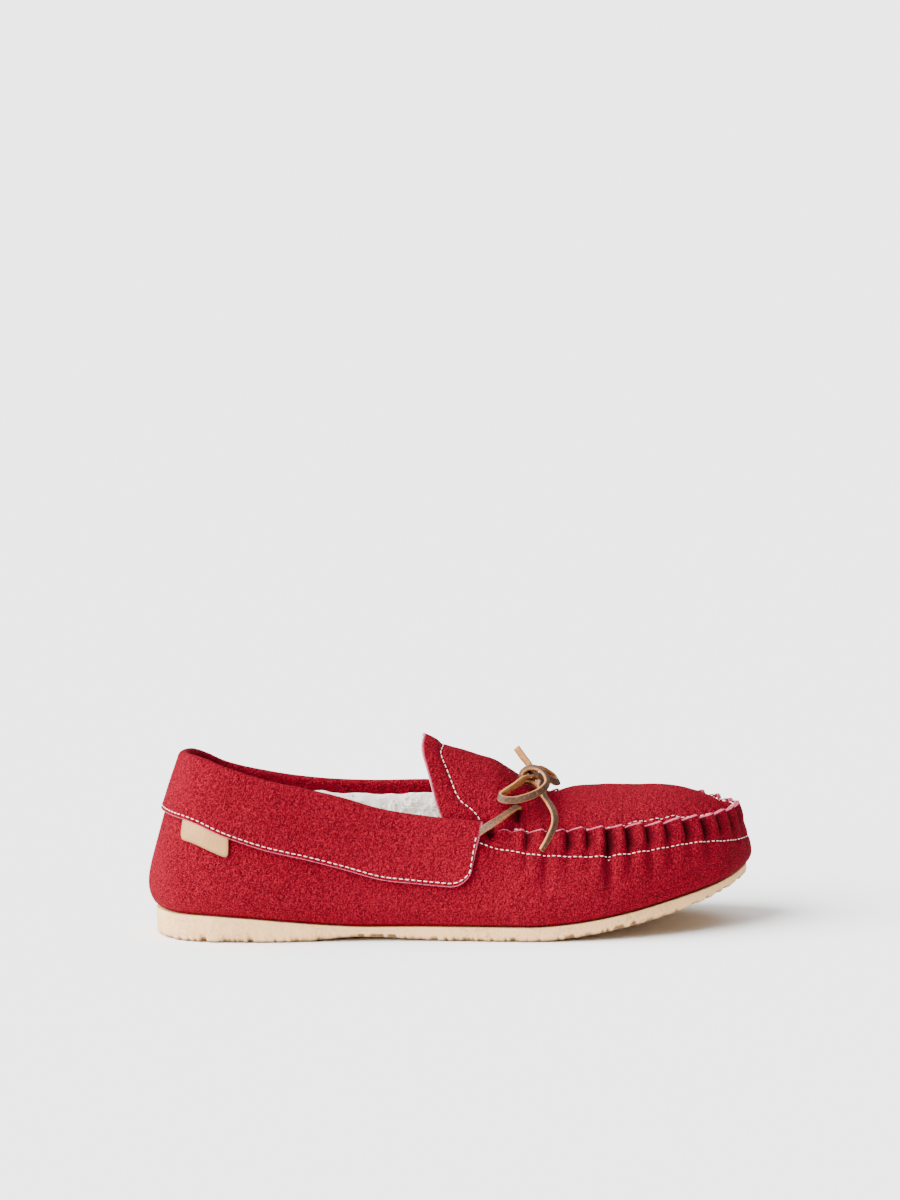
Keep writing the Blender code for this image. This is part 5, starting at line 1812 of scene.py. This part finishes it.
def apron_stitch_lines(sizes):
    """Straight stitches on the apron beside the ridge."""
    edges = seam_edges(sizes)
    lines = []
    for edge, other in (edges, edges[::-1]):
        span = np.maximum(np.linalg.norm(other.foot - edge.foot, axis=1), 1e-6)
        x = edge.foot[:, 0]
        way = APRON_SEAM + APRON_SEAM_WIDENING * ease(*WIDENING_START, x) * (1 - ease(*WIDENING_END, x))
        share = np.minimum(way / span, 0.5)
        line = edge.foot + (other.foot - edge.foot) * share[:, None]
        middle = (edge.foot + other.foot)[:, 2] / 2
        line[:, 2] += np.maximum(crest(line[:, 0]) - middle, 0) * dome(share)
        line[:, 2] += toe_fullness(line[:, 0], share)
        line[:, :2] += edge.wall.normal * (edge.relief * SEAM_PUSH * np.exp(-way / SEAM_PUSH_WIDTH))[:, None]
        line[:, 2] += pucker(edge) * hump(way, PUCKER_AT, PUCKER_WIDTH) + 0.15
        lines.append(line[6:-6])
    return lines


# The camera's pitch and roll in degrees, its distance, and the height of what it frames, in metres.
CAMERA_PITCH = 10.0
CAMERA_ROLL = 1.2
CAMERA_DISTANCE = 3.0
CAMERA_VIEW = 0.5184
CAMERA_SENSOR = 36.0
CAMERA_SHIFT = 0.2
# Where it aims: along the slipper, and up its own picture from the floor.
CAMERA_AIM = -0.0001
CAMERA_AIM_RISE = 0.0366
SWEEP_REACH = 12.0
SWEEP_DROP = 0.0002
WORLD_STRENGTH = 0.32
StudioLight = namedtuple("StudioLight", "name towards strength spread")
STUDIO_LIGHTS = (
    StudioLight("window", (-0.78, -0.27, 0.62), 14.4, 66.0),
    StudioLight("overhead", (-0.10, 0.22, 0.95), 2.8, 90.0),
)


def studio_camera(scene):
    """The camera at the photograph's angle: from the lateral side and a little above, rolled a little."""
    pitch, roll = math.radians(CAMERA_PITCH), math.radians(CAMERA_ROLL)
    away = Vector((0, -math.cos(pitch), math.sin(pitch)))
    up = Vector((0, math.sin(pitch), math.cos(pitch)))
    right = Vector((1, 0, 0))
    tilted_right = right * math.cos(roll) - up * math.sin(roll)
    tilted_up = up * math.cos(roll) + right * math.sin(roll)
    data = bpy.data.cameras.new("camera")
    data.sensor_fit = "VERTICAL"
    data.sensor_height = CAMERA_SENSOR
    data.lens = CAMERA_SENSOR * CAMERA_DISTANCE / CAMERA_VIEW
    data.shift_y = CAMERA_SHIFT
    data.clip_end = 20.0
    camera = bpy.data.objects.new("camera", data)
    scene.collection.objects.link(camera)
    aim = Vector((CAMERA_AIM, SHIFT[1], 0.0)) + up * CAMERA_AIM_RISE
    turn = Matrix((tilted_right, tilted_up, away)).transposed().to_4x4()
    camera.matrix_world = Matrix.Translation(aim + away * CAMERA_DISTANCE) @ turn
    scene.camera = camera


def paper_sweep(scene):
    """The pale paper under the slipper."""
    mesh = bpy.data.meshes.new("paper_sweep")
    corners = ((-1, -1), (1, -1), (1, 1), (-1, 1))
    mesh.from_pydata([(x * SWEEP_REACH, y * SWEEP_REACH, -SWEEP_DROP) for x, y in corners], [], [(0, 1, 2, 3)])
    mesh.materials.append(finish_of("floor"))
    floor = bpy.data.objects.new("paper_sweep", mesh)
    scene.collection.objects.link(floor)


def studio_light(scene):
    """An even white surround, a broad soft window from the heel's side and a fill from above."""
    world = bpy.data.worlds.new("studio")
    world.use_nodes = True
    background = world.node_tree.nodes["Background"]
    background.inputs["Color"].default_value = (1.0, 1.0, 1.0, 1.0)
    background.inputs["Strength"].default_value = WORLD_STRENGTH
    scene.world = world
    for light in STUDIO_LIGHTS:
        data = bpy.data.lights.new(light.name, "SUN")
        data.energy = light.strength
        data.angle = math.radians(light.spread)
        lamp = bpy.data.objects.new(light.name, data)
        lamp.rotation_euler = Vector(light.towards).to_track_quat("Z", "Y").to_euler()
        scene.collection.objects.link(lamp)


class SLIPPER_OT_stage(bpy.types.Operator):
    """Set up the camera, the soft studio light and the paper sweep"""

    bl_idname = "slipper.stage"
    bl_label = "Studio"

    def execute(self, context):
        studio_camera(context.scene)
        paper_sweep(context.scene)
        studio_light(context.scene)
        return {"FINISHED"}


class SLIPPER_OT_bow(bpy.types.Operator):
    """Tie the flat leather lace: its runs over the apron, its knot, its two loops and its two ends"""

    bl_idname = "slipper.bow"
    bl_label = "Lace and Bow"

    def execute(self, context):
        sizes = sizes_in_mm(context)
        bow_half("lace_bow_near", BOW_NEAR, sizes, "lace_loop_near", "lace_end_down")
        bow_half("lace_bow_far", BOW_FAR, sizes, "lace_loop_far", "lace_end_up")
        strap("lace_knot_wrap", knot_turns(), sizes, "lace_knot")
        strap("lace_run_lateral_strap", RUN_LATERAL, sizes, "lace_run_lateral")
        strap("lace_run_medial_strap", RUN_MEDIAL, sizes, "lace_run_medial")
        return {"FINISHED"}


class SLIPPER_OT_upper(bpy.types.Operator):
    """Sew the gathered tub and the apron"""

    bl_idname = "slipper.upper"
    bl_label = "Tub and Apron"

    def execute(self, context):
        tub(sizes_in_mm(context))
        apron(sizes_in_mm(context))
        return {"FINISHED"}


class SLIPPER_OT_tongue(bpy.types.Operator):
    """Cut the tongue and line it"""

    bl_idname = "slipper.tongue"
    bl_label = "Tongue"

    def execute(self, context):
        tongue(sizes_in_mm(context))
        return {"FINISHED"}


class SLIPPER_OT_cuff(bpy.types.Operator):
    """Fold the collar cuff over the rim and sew the side tab under it"""

    bl_idname = "slipper.cuff"
    bl_label = "Cuff and Tab"

    def execute(self, context):
        collar_cuff(sizes_in_mm(context))
        side_tab(sizes_in_mm(context))
        return {"FINISHED"}


class SLIPPER_OT_sole(bpy.types.Operator):
    """Cut the crepe sole"""

    bl_idname = "slipper.sole"
    bl_label = "Crepe Sole"

    def execute(self, context):
        crepe_sole(sizes_in_mm(context))
        return {"FINISHED"}


# Locks of wool for each square metre.
LINING_LOCKS = 760000.0
FOOTBED_LOCKS = 300000.0


class SLIPPER_OT_fleece(bpy.types.Operator):
    """Line the tub with fleece and cover the footbed"""

    bl_idname = "slipper.fleece"
    bl_label = "Fleece"

    def execute(self, context):
        sizes = sizes_in_mm(context)
        lining, lining_pile = fleece_lining(sizes)
        footbed, footbed_pile = fleece_footbed(sizes)
        tufts("fleece_lining_locks", lining, lining_pile, LINING_LOCKS, sizes)
        tufts("fleece_footbed_locks", footbed, footbed_pile, FOOTBED_LOCKS, sizes)
        return {"FINISHED"}


class SLIPPER_OT_stitches(bpy.types.Operator):
    """Sew the rows of off-white thread"""

    bl_idname = "slipper.stitches"
    bl_label = "Stitches"

    def execute(self, context):
        sizes = sizes_in_mm(context)
        stitch_row("cuff_stitches", cuff_stitch_lines(sizes), sizes)
        stitch_row("vamp_stitches", [vamp_stitch_line(sizes)], sizes, pitch=2.3, length=1.55)
        stitch_row("tongue_stitches", [tongue_stitch_line(sizes)], sizes)
        stitch_row("apron_stitches", apron_stitch_lines(sizes), sizes, pitch=2.5, length=1.7, width=0.45)
        stitch_row("seam_stitches", [seam_stitch_line(sizes)], sizes, pitch=2.0, length=1.8, width=0.5)
        return {"FINISHED"}


class SLIPPER_PT_panel(bpy.types.Panel):
    """The slipper's sizes, colours and pieces"""

    bl_label = "Slipper"
    bl_idname = "SLIPPER_PT_panel"
    bl_space_type = "VIEW_3D"
    bl_region_type = "UI"
    bl_category = "Slipper"

    def draw(self, context):
        for group in (context.scene.slipper_sizes, context.scene.slipper_colours):
            for name in type(group).__annotations__:
                self.layout.prop(group, name)
        for operator in OPERATORS:
            self.layout.operator(operator.bl_idname)


OPERATORS = (
    SLIPPER_OT_stage,
    SLIPPER_OT_bow,
    SLIPPER_OT_upper,
    SLIPPER_OT_tongue,
    SLIPPER_OT_cuff,
    SLIPPER_OT_sole,
    SLIPPER_OT_fleece,
    SLIPPER_OT_stitches,
)
CLASSES = (SlipperColours, SlipperSizes, *OPERATORS, SLIPPER_PT_panel)


def register():
    """Adds the operators, the panel and the scene's sizes and colours."""
    for kind in CLASSES:
        bpy.utils.register_class(kind)
    bpy.types.Scene.slipper_colours = PointerProperty(type=SlipperColours)
    bpy.types.Scene.slipper_sizes = PointerProperty(type=SlipperSizes)


def unregister():
    """Removes what register added."""
    del bpy.types.Scene.slipper_sizes
    del bpy.types.Scene.slipper_colours
    for kind in reversed(CLASSES):
        bpy.utils.unregister_class(kind)


def main():
    """Dresses the slipper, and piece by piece."""
    register()
    bpy.ops.slipper.stage()
    bpy.ops.slipper.bow()
    bpy.ops.slipper.upper()
    bpy.ops.slipper.tongue()
    bpy.ops.slipper.cuff()
    bpy.ops.slipper.sole()
    bpy.ops.slipper.fleece()
    bpy.ops.slipper.stitches()


if __name__ == "__main__":
    main()
